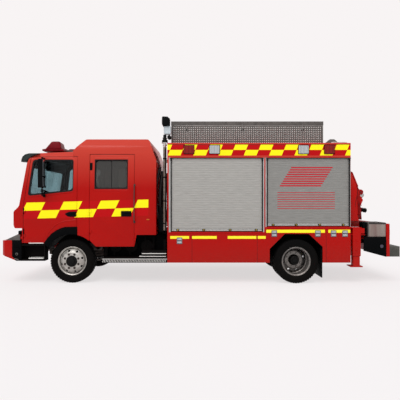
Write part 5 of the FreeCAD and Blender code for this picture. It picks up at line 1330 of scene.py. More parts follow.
def plate_lugs(bm, corner, along, up, length, height):
    """Cover a rectangle: along and up are its directions, and its outward side is along x up."""
    along, up = Vector(along), Vector(up)
    turn = Matrix((along, up, along.cross(up))).transposed().to_4x4()
    mesh = lug_row(length)
    patch = bmesh.new()
    rows = max(1, int((height - 0.012) / LUG_PITCH))
    first = (height - (rows - 1) * LUG_PITCH) / 2
    for number in range(rows):
        patch.from_mesh(mesh)
        patch.verts.ensure_lookup_table()
        fresh = patch.verts[-len(mesh.vertices):]
        if number % 2:
            bmesh.ops.rotate(patch, cent=(length / 2, 0, 0), matrix=Matrix.Rotation(math.pi, 3, "Z"),
                verts=fresh)
        bmesh.ops.translate(patch, vec=(0, first + number * LUG_PITCH, 0), verts=fresh)
    bmesh.ops.transform(patch, matrix=Matrix.Translation(corner) @ turn, verts=patch.verts)
    patch.to_mesh(mesh)
    patch.free()
    bm.from_mesh(mesh)
    bpy.data.meshes.remove(mesh)
    return rows


def roof_locker(word, side):
    lid_low, lid_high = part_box(word + "_roof_lid")
    lip = 0.008
    x0, x1 = lid_low[0] + lip, lid_high[0] - lip
    near, far = (abs(v) for v in sorted((lid_low[1], lid_high[1]), key=abs))
    inner, outer = near + lip, far - lip
    foot, top, lid_foot = 2.652, lid_high[2], lid_low[2]
    fixed, moving = blank(2)
    long, tall = x1 - x0, lid_foot - foot
    out = (1, 0, 0) if side < 0 else (-1, 0, 0)
    back = (-1, 0, 0) if side < 0 else (1, 0, 0)
    start, end = (x0, x1) if side < 0 else (x1, x0)
    plate_lugs(fixed, (start, side * outer, foot), out, (0, 0, 1), long, tall)
    plate_lugs(fixed, (end, side * inner, foot), back, (0, 0, 1), long, tall)
    wide = outer - inner
    low_y, high_y = across(side, inner, outer)
    plate_lugs(fixed, (x1, low_y, foot), (0, 1, 0), (0, 0, 1), wide, tall)
    plate_lugs(fixed, (x0, high_y, foot), (0, -1, 0), (0, 0, 1), wide, tall)
    y = min(side * near, side * far)
    plate_lugs(moving, (lid_low[0], y, top), (1, 0, 0), (0, 1, 0), lid_high[0] - lid_low[0], far - near)
    piece(word + "_locker_lugs", fixed, "chassis", tread_lug, turn_out=False)
    piece(word + "_lid_lugs", moving, word + "_roof_lid", tread_lug, turn_out=False)
    hold, steel = blank(2)
    for x in (-0.25, 0.822, 1.995):
        y = side * (outer + 0.001)
        z = lid_foot - 0.095
        pin(hold, x, z, y, y + side * 0.01, 0.024, 20, edge=0.003)
        slab(steel, side, (x - 0.008, x + 0.008), (outer + 0.001, outer + 0.017), (z - 0.02, z + 0.02),
            0.003)
        rod(steel, (x, y, z + 0.012), (x, y + side * 0.008, lid_foot + 0.02), 0.005, 8)
    low_y, high_y = across(side, outer - 0.002, outer + 0.004)
    box(steel, (x0 - 0.002, low_y, lid_foot - 0.018), (x1 + 0.002, high_y, lid_foot - 0.006), 0.002)
    for x in (x0, x1):
        box(steel, (x - 0.006, low_y, foot), (x + 0.006, high_y, lid_foot - 0.006), 0.002)
    box(steel, (x0 - 0.004, low_y, foot), (x1 + 0.004, high_y + 0.004 * (side > 0), foot + 0.016), 0.002)
    for x in (x0 + 0.3, (x0 + x1) / 2, x1 - 0.3):
        y = side * (near - 0.006)
        shaft(steel, y, lid_foot + 0.002, x - 0.06, x + 0.06, 0.009, 12)
    pieces("chassis", word + "_", locker_locks=(hold, black_plastic), locker_edging=(steel, stainless))
    print(word, "roof locker", round(x1 - x0, 2), "m long")


stem_sides(roof_locker)


def roof_fittings():
    """A step bracket behind the lockers and a low rail along the roof's rear edge."""
    steel, floor = blank(2)
    for side in (-1, 1):
        outline(floor, [(2.41, 2.65), (2.74, 2.65), (2.68, 2.715), (2.62, 2.765), (2.54, 2.765)],
            *across(side, 0.8, 0.9), "XZ", 0.004)
        pipe(steel, [(2.5, side * 1.08, 2.65), (2.5, side * 1.08, 2.672), (2.56, side * 1.08, 2.68),
            (2.77, side * 1.08, 2.68), (2.81, side * 1.08, 2.672), (2.81, side * 1.08, 2.65)], 0.009, 10)
    box(floor, (-0.56, -0.292, 2.648), (2.78, 0.292, 2.653), 0.001)
    plate_lugs(steel, (-0.55, -0.29, 2.6528), (1, 0, 0), (0, 1, 0), 3.3, 0.58)
    piece("roof_fittings", steel, "chassis", tread_lug, turn_out=False)
    piece("roof_walkway", floor, "chassis", tread_metal)


roof_fittings()

# %% [markdown]
# ## Light mast
# A telescopic mast stands in the gap behind the cab with a pair of floodlights on a swivel. Its cable runs
# down beside it, and its clamps hold it to the body. The lamp's front holds two shallow reflectors, and
# cooling ribs stand on its back.

# %% Mast lamps, cable and clamps
MAST_X, MAST_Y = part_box("mast_post")[0][0] + 0.032, -1.06
head_low, head_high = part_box("mast_lamps")


def light_mast():
    top = head_high[2]
    case, dark, bright, pale = blank(4)
    x0, x1, y0, y1 = MAST_X - 0.046, MAST_X + 0.092, MAST_Y - 0.104, MAST_Y + 0.104
    post(dark, MAST_X, MAST_Y, head_low[2], head_low[2] + 0.05, 0.056, 28, edge=0.004)
    post(dark, MAST_X, MAST_Y, head_low[2] + 0.05, head_low[2] + 0.15, 0.04, 24, 0.03)
    shaft(bright, MAST_Y, head_low[2] + 0.1, MAST_X - 0.045, MAST_X + 0.075, 0.02, 16, edge=0.003)
    pin(dark, MAST_X + 0.087, head_low[2] + 0.1, MAST_Y - 0.075, MAST_Y + 0.06, 0.038, 24, edge=0.004)
    z0 = head_low[2] + 0.155
    box(pale, (MAST_X - 0.018, MAST_Y - 0.06, z0), (MAST_X + 0.12, MAST_Y + 0.06, z0 + 0.16), 0.022, 4)
    for z in spaced(5, z0 + 0.03, 0.024):
        box(pale, (MAST_X + 0.118, MAST_Y - 0.045, z), (MAST_X + 0.124, MAST_Y + 0.045, z + 0.008), 0.002)
    outline(case, [(x0 + 0.012, top - 0.172), (x0, top - 0.15), (x0, top - 0.012), (x0 + 0.012, top),
        (x1 - 0.03, top - 0.004), (x1, top - 0.04), (x1, top - 0.14), (x1 - 0.02, top - 0.172)], y0, y1,
        "XZ", 0.006, 3)
    for number in range(7):
        y = y0 + 0.022 + number * (y1 - y0 - 0.044) / 6
        box(case, (x1 - 0.012, y - 0.003, top - 0.15), (x1 + 0.004, y + 0.003, top - 0.03), 0.001, 1)
    for middle in ((y0 + MAST_Y) / 2, (y1 + MAST_Y) / 2):
        box(bright, (x0 - 0.004, middle - 0.044, top - 0.15), (x0 + 0.004, middle + 0.044, top - 0.022),
            0.006)
        shaft(bright, middle, top - 0.086, x0 - 0.002, x0 - 0.008, 0.03, 24, 0.036)
    pieces("mast_lamps", "", mast_lamp_case=(case, black_plastic, "mast_lamps"),
        mast_lamp_reflectors=(bright, chrome), mast_lamp_motor=(pale, lamp_grey),
        mast_lamp_swivel=(dark, hub_black))
    bm = bmesh.new()
    for y in (-1.112, -1.006):
        pipe(bm, [(MAST_X + 0.02, y, 0.93), (MAST_X + 0.012, y, 1.3), (MAST_X + 0.02, y, 1.9),
            (MAST_X + 0.01, y + 0.004, 2.35), (MAST_X + 0.016, y, 2.56)], 0.0085, 8)
    for z in (1.12, 1.55, 2.0, 2.36):
        post(bm, MAST_X, MAST_Y, z, z + 0.022, 0.039, 24, edge=0.003)
    piece("mast_cable_and_clamps", bm, "chassis", black_plastic)


lamp_grey = grained("lamp_grey", (176, 186, 190), (206, 214, 217), 0.4, scale=30, bump=0.05)
light_mast()
print("mast lamps at", round(head_high[2], 2), "m")

# %% [markdown]
# ## Hoses behind the cab
# The engine breathes through a duct and hoses that stand in the gap. A corrugated hose is a turned shape:
# its radius goes in and out along the way. The hoses bow a little, so the straight turned shape is bent by
# sliding each ring of points along a smooth curve.

# %% Intake duct, corrugated hoses and brackets
RIB_PITCH = 0.026
HOSES = ((-0.985, 0.028, 1.1, 2.22, -0.085, -0.77, 0.006), (-0.93, 0.034, 1.0, 2.16, -0.055, -0.72, 0.01),
    (-0.82, 0.03, 1.0, 2.05, -0.04, -0.7, 0.004), (-0.56, 0.026, 1.0, 2.1, 0.018, -0.735, -0.004),
    (0.33, 0.03, 1.0, 2.05, 0.018, -0.735, 0.004), (0.52, 0.046, 1.0, 2.2, 0.02, -0.735, 0.008))


def hose(bm, x, y, radius, z0, z1, bow, sway):
    """A corrugated hose standing at (x, y), bowed along the truck."""
    rings = []
    count = int((z1 - z0) / RIB_PITCH)
    for number in range(count):
        z = number * RIB_PITCH
        rings += [(z, radius * 0.9), (z + 0.4 * RIB_PITCH, radius * 0.9), (z + 0.55 * RIB_PITCH, radius),
            (z + 0.85 * RIB_PITCH, radius)]
    before = set(bm.verts)
    turned(bm, [(0, 0.0)] + rings + [(count * RIB_PITCH, 0.0)], (x, y, z0), steps=14, axis="Z")
    for vert in set(bm.verts) - before:
        part = (vert.co.z - z0) / (z1 - z0)
        vert.co.x += bow * math.sin(math.pi * part)
        vert.co.y += sway * math.sin(math.tau * part)


def gap_fittings():
    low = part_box("intake_stack")[0]
    hoses, duct, clips = blank(3)
    for y, radius, z0, z1, bow, middle, sway in HOSES:
        hose(hoses, middle, y, radius, z0, z1, bow, sway)
        for z in (z0 + 0.02, z1 - 0.04):
            x = middle + bow * math.sin(math.pi * (z - z0) / (z1 - z0))
            post(clips, x, y, z, z + 0.016, radius * 1.08, 20, edge=0.002)
    outline(duct, [(-0.8, 0.965), (-0.68, 0.965), (-0.67, 1.36), (-0.72, 1.44), (-0.8, 1.44)], -1.02, -0.6,
        "XZ", 0.014, 3)
    for z in spaced(9, 1.0, 0.045):
        box(duct, (-0.806, -1.026, z), (-0.672, -0.594, z + 0.01), 0.003)
    box(clips, (-0.8, -0.84, low[2]), (-0.67, 0.56, low[2] + 0.04), 0.004)
    for y in (-0.7, -0.2, 0.25, 0.6):
        box(clips, (-0.64, y - 0.02, 0.95), (-0.616, y + 0.02, 2.02), 0.003)
        box(clips, (-0.735, y - 0.012, 1.985), (-0.616, y + 0.012, 2.01), 0.003)
    lines = bmesh.new()
    for y, lift in ((-1.0, 0.0), (-0.9, 0.018), (-0.72, 0.034)):
        pipe(lines, [(-0.93, y, 2.545 + lift), (-0.875, y, 2.47 + lift), (-0.822, y, 2.36 + lift),
            (-0.788, y, 2.23 + lift), (-0.776, y, 2.08), (-0.776, y, 1.9)], 0.006, 8)
    piece("roof_pipes", lines, "chassis", black_plastic)
    piece("intake_hoses", hoses, "chassis", hose_rubber, ["intake_stack"], merge=0.00005)
    pieces("chassis", "", intake_duct=(duct, black_plastic), hose_clips=(clips, frame_paint))
    print("hoses with", sum(int((h[3] - h[2]) / RIB_PITCH) for h in HOSES), "ribs")


hose_rubber = grained("hose_rubber", (14, 10, 10), (36, 22, 22), 0.6, scale=30, bump=0.2)
gap_fittings()

# %% [markdown]
# ## Stainless boxes, tail step and bulkhead
# Two steel boxes with cast lids stand on the rear deck, the tail step is tread plate, and the bulkhead carries
# reflective chevrons, as the back of a rescue truck does. The chevrons are slanted films, cut by copying
# one slanted outline across the plate and planing off what stands past its ends.

# %% Rear boxes, step plate, chevrons and painted shadow panels
tail_high, shelf_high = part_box("rear_bumper")[1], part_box("lockers")[1]
BULKHEAD_REAR = 3.58


def chevrons(bm, x, y0, y1, z0, z1, count):
    """Slanted films, mirrored about the truck's middle."""
    step = (y1 - y0) / count
    for number in range(count + 2):
        y = y0 + (number - 1) * step
        rise = (z1 - z0) * 0.8
        outline(bm, [(y, z0), (y + step * 0.5, z0), (y + step * 0.5 + rise, z1), (y + rise, z1)], x,
            x + 0.0014, "YZ")
    for side, at in ((1, y1), (-1, y0)):
        bmesh.ops.bisect_plane(bm, geom=bm.verts[:] + bm.edges[:] + bm.faces[:], plane_co=(0, at, 0),
            plane_no=(0, side, 0), clear_outer=True)


def rear_end():
    steel, dark, film, tread, collar, lamp, lid = blank(7)
    for side in (-1, 1):
        y0, y1 = across(side, 0.718, 1.152)
        x0, x1, z0, z1 = shelf_high[0] - 0.318, shelf_high[0] + 0.002, 0.878, 1.152
        box(steel, (x0, y0, z0), (x1, y1, z1 - 0.032), 0.006, 3)
        box(lid, (x0 - 0.004, y0 - 0.004, z1 - 0.03), (x1, y1 + 0.004, z1), 0.008, 3)
        # Painted shadow: the black sheet low on each side of the tail and the block behind each box stand for
        # the bulkhead's faces in shade.
        outline(dark, [(3.095, 0.618), (3.095, 0.884), (3.515, 0.884), (3.515, 0.505)],
            *across(side, 1.14, 1.1725), "XZ", 0.003)
        slab(dark, side, (3.1, 3.178), (0.9, 1.1), (0.878, 1.16), 0.01)
        slab(collar, side, (3.03, 3.108), (0.96, 1.1695), (0.945, 1.045), 0.006)
        slab(collar, side, (2.856, 3.118), (0.96, 1.1695), (0.916, 0.928), 0.003)
        slab(collar, side, (2.85, 3.05), (0.96, 1.1695), (1.05, 1.064), 0.003)
        for z in (0.62, 0.8):
            pin(collar, 2.955, z, side * 1.16, side * 1.18, 0.013, 6)
        pin(dark, 3.425, 0.707, side * 1.17, side * 1.182, 0.042, 28, edge=0.004)
        pin(lamp, 3.425, 0.707, side * 1.176, side * 1.186, 0.032, 28, edge=0.003)
        half = bmesh.new()
        chevrons(half, BULKHEAD_REAR, 0.2, 1.165, 0.72, 0.895, 5)
        if side < 0:
            bmesh.ops.scale(half, vec=(1, -1, 1), verts=half.verts)
        mesh = bpy.data.meshes.new("chevron")
        half.to_mesh(mesh)
        film.from_mesh(mesh)
        half.free()
        bpy.data.meshes.remove(mesh)
    wide = tail_high[1]
    width = 2 * min(1.145, wide)
    plate_lugs(tread, (BULKHEAD_REAR + 0.02, -width / 2, 0.701), (1, 0, 0), (0, 1, 0), 0.17, width)
    box(tread, (BULKHEAD_REAR + 0.004, -width / 2, 0.696), (tail_high[0] - 0.004, width / 2, 0.702), 0.002)
    for side in (-1, 1):
        y = side * (width / 2 + 0.006)
        plate_lugs(tread, (BULKHEAD_REAR + 0.01 if side < 0 else tail_high[0] - 0.01, y, 0.515),
            (1, 0, 0) if side < 0 else (-1, 0, 0), (0, 0, 1), 0.18, 0.18)
        a, b = sorted((y, side * width / 2))
        box(tread, (BULKHEAD_REAR + 0.004, a, 0.508), (tail_high[0] - 0.002, b, 0.703), 0.002)
    pieces("chassis", "", rear_boxes=(steel, box_steel), rear_box_lids=(lid, cast_iron),
        beam_collars=(collar, plain_red), rear_side_reflectors=(lamp, dim_lens),
        rear_dark_panels=(dark, flare_black), rear_chevrons=(film, yellow_film))
    piece("tail_step_tread", tread, "chassis", tail_plate, turn_out=False)


tail_plate = grained("tail_plate", (58, 58, 54), (82, 82, 76), 0.5, 0.4, scale=9, bump=0.06)
box_steel = grained("box_steel", (112, 84, 80), (150, 140, 132), 0.4, 0.4, scale=5, stretch=(1, 1, 0.2),
    bump=0.03)
dim_lens = grained("dim_lens", (52, 48, 62), (70, 66, 80), 0.3, scale=200, bump=0.3)
rear_end()
print("rear end dressed")

# %% [markdown]
# ## Rear door, frame and roof edge at the back
# The body's rear wall has its own roller door beside the crane, with lamps above it. The slats repeat the
# side shutters at a wider pitch, and a frame with rounded corners closes their ends.

# %% Rear roller door
def rear_door():
    slat, frame_bits, knob = blank(3)
    x = body_high[0]
    y0, y1, z0, z1 = -0.78, 0.78, 1.26, 2.34
    count = 24
    pitch = (z1 - z0) / count
    for z in spaced(count, z0, pitch):
        rise = [(0.001, 0.0), (0.003, 0.002), (0.0055, 0.012), (0.0055, pitch - 0.012),
            (0.003, pitch - 0.002), (0.001, pitch)]
        outline(slat, [(x + u, z + v) for u, v in rise], y0, y1, "XZ")
    for a, b, c, d in ((y0 - 0.03, y0 + 0.006, z0 - 0.02, z1 + 0.03),
            (y1 - 0.006, y1 + 0.03, z0 - 0.02, z1 + 0.03), (y0 - 0.03, y1 + 0.03, z1 - 0.004, z1 + 0.034),
            (y0 - 0.03, y1 + 0.03, z0 - 0.034, z0 + 0.01)):
        box(frame_bits, (x - 0.002, a, c), (x + 0.01, b, d), 0.004)
    box(frame_bits, (x, -0.3, z0 + 0.012), (x + 0.026, 0.3, z0 + 0.03), 0.006)
    for y in (-0.55, 0.55):
        shaft(knob, y, z0 + 0.035, x + 0.004, x + 0.018, 0.016, 20, edge=0.002)
    for y in (-1.16, 1.16):
        box(frame_bits, (x, y - 0.012, 0.98), (x + 0.004, y + 0.012, 2.62), 0.002)
    pieces("chassis", "", rear_door_slats=(slat, slat_metal), rear_door_frame=(frame_bits, rail_metal),
        rear_door_latches=(knob, brass))


rear_door()

# %% [markdown]
# ## Crane rams, hoses and jib
# A folding crane works by oil pressure, so it carries rams with bright rods, hoses that follow each link,
# and bolts at its foot. Each detail rides on the link that it is bolted to, and the ones that would have to
# bridge two links are kept on one of them.

# %% Crane details
def crane_details():
    boom_low, boom_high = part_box("crane_boom")
    base_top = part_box("crane_base")[1][2]
    steel, oil, ram = blank(3)
    for u, v in circle(10, 0.132):
        post(steel, 2.99 + u, v, base_top - 0.002, base_top + 0.014, 0.012, 6, edge=0.001)
    piece("crane_foot_bolts", steel, "chassis", chrome)
    x = boom_high[0] + 0.001
    rod(ram, (x + 0.03, -0.3, 1.5), (x + 0.03, -0.78, 1.56), 0.032, 24, edge=0.004)
    rod(oil, (x + 0.03, -0.78, 1.56), (x + 0.03, -0.93, 1.578), 0.016, 20)
    for y, z in ((-0.3, 1.5), (-0.93, 1.578)):
        shaft(ram, y, z, x - 0.004, x + 0.058, 0.028, 20, edge=0.003)
    pipe(oil, [(x + 0.008, 0.02, 1.6), (x + 0.02, -0.1, 1.655), (x + 0.018, -0.3, 1.64),
        (x + 0.018, -0.62, 1.64), (x + 0.024, -0.78, 1.62)], 0.009, 10)
    for y in (-0.12, -0.42, -0.72, -0.98):
        box(ram, (boom_low[0] - 0.004, y - 0.02, boom_low[2] - 0.004),
            (boom_high[0] + 0.004, y + 0.02, boom_low[2] + 0.012), 0.003)
    shaft(ram, 0.04, 1.565, boom_low[0] - 0.01, boom_high[0] + 0.01, 0.046, 28, edge=0.004)
    pieces("crane_boom", "", crane_ram_barrel=(ram, painted_shade_red), crane_ram_rod_and_pipes=(oil, chrome))
    rubber = bmesh.new()
    rod(rubber, (3.06, -1.0, 1.4), (3.206, -1.0, 1.375), 0.038, 24, 0.03, 0.006)
    for x in (3.11, 3.15, 3.18):
        rod(rubber, (x, -1.0, 1.4 - 0.17 * (x - 3.06)), (x + 0.014, -1.0, 1.398 - 0.17 * (x - 3.06)), 0.044,
            24, edge=0.004)
    boot = piece("crane_hose_boot", rubber, "crane_extension", black_rubber)
    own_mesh(boot)
    jib, pins, dim = blank(3)
    cheek = [(2.862, 2.15), (2.885, 2.135), (2.952, 1.99), (3.006, 1.86), (3.04, 1.79), (3.088, 1.76),
        (3.12, 1.7), (3.114, 1.64), (3.09, 1.59), (3.06, 1.545), (3.066, 1.47), (3.08, 1.44),
        (3.096, 1.205), (2.9, 1.205), (2.88, 1.7)]
    outline(jib, cheek, -1.06, -1.046, "XZ", 0.004)
    outline(jib, cheek, -0.944, -0.93, "XZ", 0.004)
    for start, end, radius in (((2.898, 2.09), (3.004, 1.83), 0.024), ((3.02, 1.7), (3.04, 1.3), 0.036)):
        for y in (-1.068, -0.995):
            rod(jib, (start[0], y, start[1]), (end[0], y, end[1]), radius, 20, edge=0.005)
    for x, z, radius in ((3.065, 1.73, 0.052), (3.02, 1.6, 0.044), (2.99, 1.48, 0.03), (3.03, 1.27, 0.04),
            (2.892, 2.096, 0.024)):
        pin(jib, x, z, -1.082, -0.925, radius, 28, edge=0.004)
        pin(dim, x, z, -1.087, -0.919, radius * 0.45, 20, edge=0.002)
    pin(pins, 3.094, 1.672, -1.075, -0.93, 0.041, 28, edge=0.005)
    for number in range(4):
        z = 1.36 + 0.06 * number
        pin(jib, 3.082, z, -1.058, -1.068, 0.01, 6)
    pipe(dim, [(2.93, -1.075, 2.04), (2.965, -1.082, 1.92), (3.005, -1.086, 1.8), (3.0, -1.09, 1.66),
        (2.96, -1.086, 1.52), (2.965, -1.08, 1.36)], 0.008, 8)
    pieces("crane_extension", "", crane_jib_links=(jib, jib_paint), crane_jib_end_pin=(pins, rail_metal),
        crane_jib_pins_and_hose=(dim, painted_shade_red))
    levers = bmesh.new()
    box(levers, (3.065, 0.55, 0.975), (3.165, 0.95, 1.06), 0.008)
    for y in spaced(6, 0.6, 0.06):
        rod(levers, (3.115, y, 1.055), (3.13, y, 1.185), 0.007, 10)
        rod(levers, (3.128, y, 1.17), (3.133, y, 1.205), 0.014, 14, edge=0.004)
    piece("crane_levers", levers, "chassis", black_plastic)
    print("crane boom", [round(v, 2) for v in boom_low], [round(v, 2) for v in boom_high])


def jib_red_with_painted_shade():
    """Red paint with darker patches at random, and painted shade that darkens it towards the jib's foot."""
    finish = Finish("jib_paint", RED, rough=0.4, specular=0.1)
    z = finish.axes()[2]
    patches = finish.span(finish.noise(9, 4), 0.35, 0.65, 0.05, 0.45)
    # Painted shade: below about 1.7 m the red turns darker, standing in for the shadow on the jib's lower part.
    foot = finish.span(z, 1.45, 1.72, 0.45, 0.0)
    colour = finish.blend(finish.sum("ADD", patches, foot), tint(166, 12, 8), tint(70, 2, 4))
    finish.set("Base Color", colour)
    finish.bump(finish.noise(60, 3), 0.1, 0.001)
    return finish.material


jib_paint = jib_red_with_painted_shade()
# A darker copy of the red paint: painted shade on the rams, pins and hose low on the crane.
painted_shade_red = grained("painted_shade_red", (84, 6, 6), (112, 12, 10), 0.5, scale=40, bump=0.1, specular=0.2)
crane_details()

# %% [markdown]
# ## Stuffed seats
# A seat pad is foam in a sewn cover, so it bulges between its seams and pulls in along its sides. Each pad
# starts as a slightly small, crowned form. It is remeshed into an even skin, filled by a short cloth
# simulation under pressure, and held to a small swell, which is what the foam inside does. The sewn channels
# are pressed in afterwards, because a remesh would wipe them out. Twin pads share one simulation.

# %% Pads filled by a cloth simulation
PRESSURE = 4.0
SIM_FRAMES = 20
CROWN, WAIST = 0.25, 0.03
SEAM_WIDE = 0.01


def crowned(size):
    """A block whose top bulges and whose sides pull in between the corners."""
    bm = bmesh.new()
    bmesh.ops.create_cube(bm, size=2)
    bmesh.ops.subdivide_edges(bm, edges=bm.edges[:], cuts=9, use_grid_fill=True)
    for vert in bm.verts:
        u, v, w = vert.co
        pull_u, pull_v = 1 - WAIST * (1 - v * v), 1 - WAIST * (1 - u * u)
        corner = 1 - 0.05 * (u * v) ** 4
        rise = 1 + CROWN * (1 - u * u) * (1 - v * v) if w > 0 else 1.0
        vert.co = (u * pull_u * corner * size[0] / 2, v * pull_v * corner * size[1] / 2,
            w * rise * size[2] / 2 * (1 - 0.2 * max(abs(u), abs(v)) ** 6))
    return bm


def read_mesh(obj):
    """The object's mesh as its modifiers leave it."""
    graph = bpy.context.evaluated_depsgraph_get()
    return bpy.data.meshes.new_from_object(obj.evaluated_get(graph))


def stuffed(name, size, swell, voxel=0.009):
    """A pad's cover after its filling; the pad lies about the origin with its face up."""
    bm = crowned([s - swell for s in size])
    mesh = bpy.data.meshes.new(name + "_cover")
    bm.to_mesh(mesh)
    bm.free()
    cover = bpy.data.objects.new(name + "_cover", mesh)
    bpy.context.scene.collection.objects.link(cover)
    even = cover.modifiers.new("even", "REMESH")
    even.mode = "VOXEL"
    even.voxel_size = voxel
    cover.data = read_mesh(cover)
    cover.modifiers.remove(even)
    rest = [v.co.copy() for v in cover.data.vertices]
    cloth = cover.modifiers.new("cloth", "CLOTH")
    cloth.settings.use_pressure = True
    cloth.settings.uniform_pressure_force = PRESSURE
    cloth.settings.effector_weights.gravity = 0
    cloth.settings.quality = 4
    cloth.point_cache.frame_end = SIM_FRAMES
    for number in range(1, SIM_FRAMES + 1):
        bpy.context.scene.frame_set(number)
    filled = read_mesh(cover)
    for vert, start, moved in zip(cover.data.vertices, rest, filled.vertices):
        step = moved.co - start
        vert.co = start + (step if step.length < swell else step.normalized() * swell)
    cover.modifiers.remove(cloth)
    bpy.context.scene.frame_set(1)
    bpy.data.meshes.remove(filled)
    done = cover.data
    bpy.data.objects.remove(cover)
    print(name, "pad", len(done.vertices), "points, swelled by up to", swell, "m")
    return done


def sewn(mesh, across=(), along=(), deep=0.007):
    """The cover as a bmesh with sewn channels pressed into its upper face at these places."""
    bm = bmesh.new()
    bm.from_mesh(mesh)
    for vert in bm.verts:
        if vert.co.z < 0:
            continue
        press = sum(math.exp(-((vert.co.x - at) / SEAM_WIDE) ** 2) for at in across)
        press += sum(math.exp(-((vert.co.y - at) / SEAM_WIDE) ** 2) for at in along)
        vert.co.z -= deep * min(press, 1.4)
    return bm


def pad_piece(name, bm, move):
    bmesh.ops.transform(bm, matrix=move, verts=bm.verts)
    obj = piece(name, bm, "cab", seat_cloth, sharp=math.radians(70), turn_out=False)
    smooth = obj.modifiers.new("fine", "SUBSURF")
    smooth.levels = smooth.render_levels = 1


FRONT_PAD = stuffed("front_cushion", (0.47, 0.49, 0.135), 0.012)
FRONT_BACK = stuffed("front_back", (0.6, 0.47, 0.105), 0.012)
HEAD_PAD = stuffed("headrest", (0.17, 0.29, 0.085), 0.008, 0.007)
BENCH_PAD = stuffed("bench_cushion", (0.49, 0.64, 0.135), 0.012, 0.01)
BENCH_BACK = stuffed("bench_back", (0.74, 0.64, 0.095), 0.012, 0.01)

# %% [markdown]
# ## Seats in the cab
# Two single seats stand in front on moulded boxes, and the crew sit on a bench of three places. A leaning
# back is the same flat pad turned up by the angle of the backrest. The hard parts are built round the pads:
# boxes, side levers, headrest posts and belt buckles.

# %% Front seats, bench and their frames
LEAN_BACK = math.radians(8)


def raised(x, y, z, angle):
    """Turn a flat pad up about Y so that its face looks forward, and put its middle at a place."""
    return Matrix.Translation((x, y, z)) @ Matrix.Rotation(-(math.pi / 2 - angle), 4, "Y")


def seats():
    shell, metal, buckle = blank(3)
    for word, side in SIDES:
        y = side * 0.64
        cushion = sewn(FRONT_PAD, across=(0.1, -0.02, -0.14), along=(-0.165, 0.165))
        pad_piece(word + "_seat_cushion", cushion, Matrix.Translation((-2.69, y, 1.412)))
        back = sewn(FRONT_BACK, across=(0.18, 0.06, -0.06, -0.18), along=(-0.15, 0.15))
        pad_piece(word + "_seat_back", back, raised(-2.36, y, 1.69, LEAN_BACK))
        head = sewn(HEAD_PAD, along=(-0.09, 0.09), deep=0.004)
        pad_piece(word + "_headrest", head, raised(-2.3, y, 2.06, LEAN_BACK))
        box(shell, (-2.9, y - 0.225, 1.105), (-2.47, y + 0.225, 1.345), 0.025, 4)
        box(shell, (-2.93, y - 0.24, 1.31), (-2.44, y + 0.24, 1.352), 0.012, 3)
        outline(shell, [(-2.432, 1.345), (-2.392, 1.345), (-2.262, 2.0), (-2.292, 2.0)], y - 0.215,
            y + 0.215, "XZ", 0.01, 3)
        for offset in (-0.07, 0.07):
            rod(metal, (-2.31, y + offset, 1.93), (-2.288, y + offset, 2.06), 0.007, 12)
        rod(metal, (-2.86, y + side * 0.235, 1.325), (-2.7, y + side * 0.25, 1.33), 0.008, 10)
        rod(buckle, (-2.47, y - side * 0.255, 1.33), (-2.5, y - side * 0.262, 1.47), 0.01, 10)
        box(buckle, (-2.525, y - side * 0.262 - 0.014, 1.465), (-2.475, y - side * 0.262 + 0.014, 1.53),
            0.006)
    for number, y in enumerate((-0.65, 0.0, 0.65)):
        cushion = sewn(BENCH_PAD, across=(0.08, -0.06), along=(-0.21, 0.21))
        pad_piece(f"bench_cushion_{number}", cushion, Matrix.Translation((-1.3, y, 1.313)))
        back = sewn(BENCH_BACK, across=(0.22, 0.02, -0.18), along=(-0.21, 0.21))
        pad_piece(f"bench_back_{number}", back, raised(-1.005, y, 1.64, math.radians(1)))
        box(buckle, (-1.09, y - 0.3, 1.375), (-1.05, y - 0.276, 1.45), 0.006)
    box(shell, (-1.525, -0.935, 0.985), (-1.055, 0.935, 1.245), 0.018, 3)
    for y in (-0.62, 0.0, 0.62):
        box(shell, (-1.534, y - 0.29, 1.02), (-1.52, y + 0.29, 1.22), 0.006)
        shaft(metal, y, 1.19, -1.54, -1.548, 0.014, 16, edge=0.002)
    box(shell, (-0.985, -0.965, 1.25), (-0.955, 0.965, 1.99), 0.008)
    pieces("cab", "", seat_shells=(shell, dash_grain, "seats"), seat_metal=(metal, rail_metal),
        belt_buckles=(buckle, red_stripe))


seats()
print("seats made")

# %% [markdown]
# ## Dashboard fittings
# The dashboard's moulding is already there, so it only needs what a driver touches and reads: a hooded
# cluster of gauges, air vents with slats, a blank radio panel, rows of rocker switches and the stalks behind
# the wheel. The gauges are left unlettered, with plain marks round their rims.

# %% Gauges, vents, switches and stalks
dash_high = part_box("dashboard")[1]


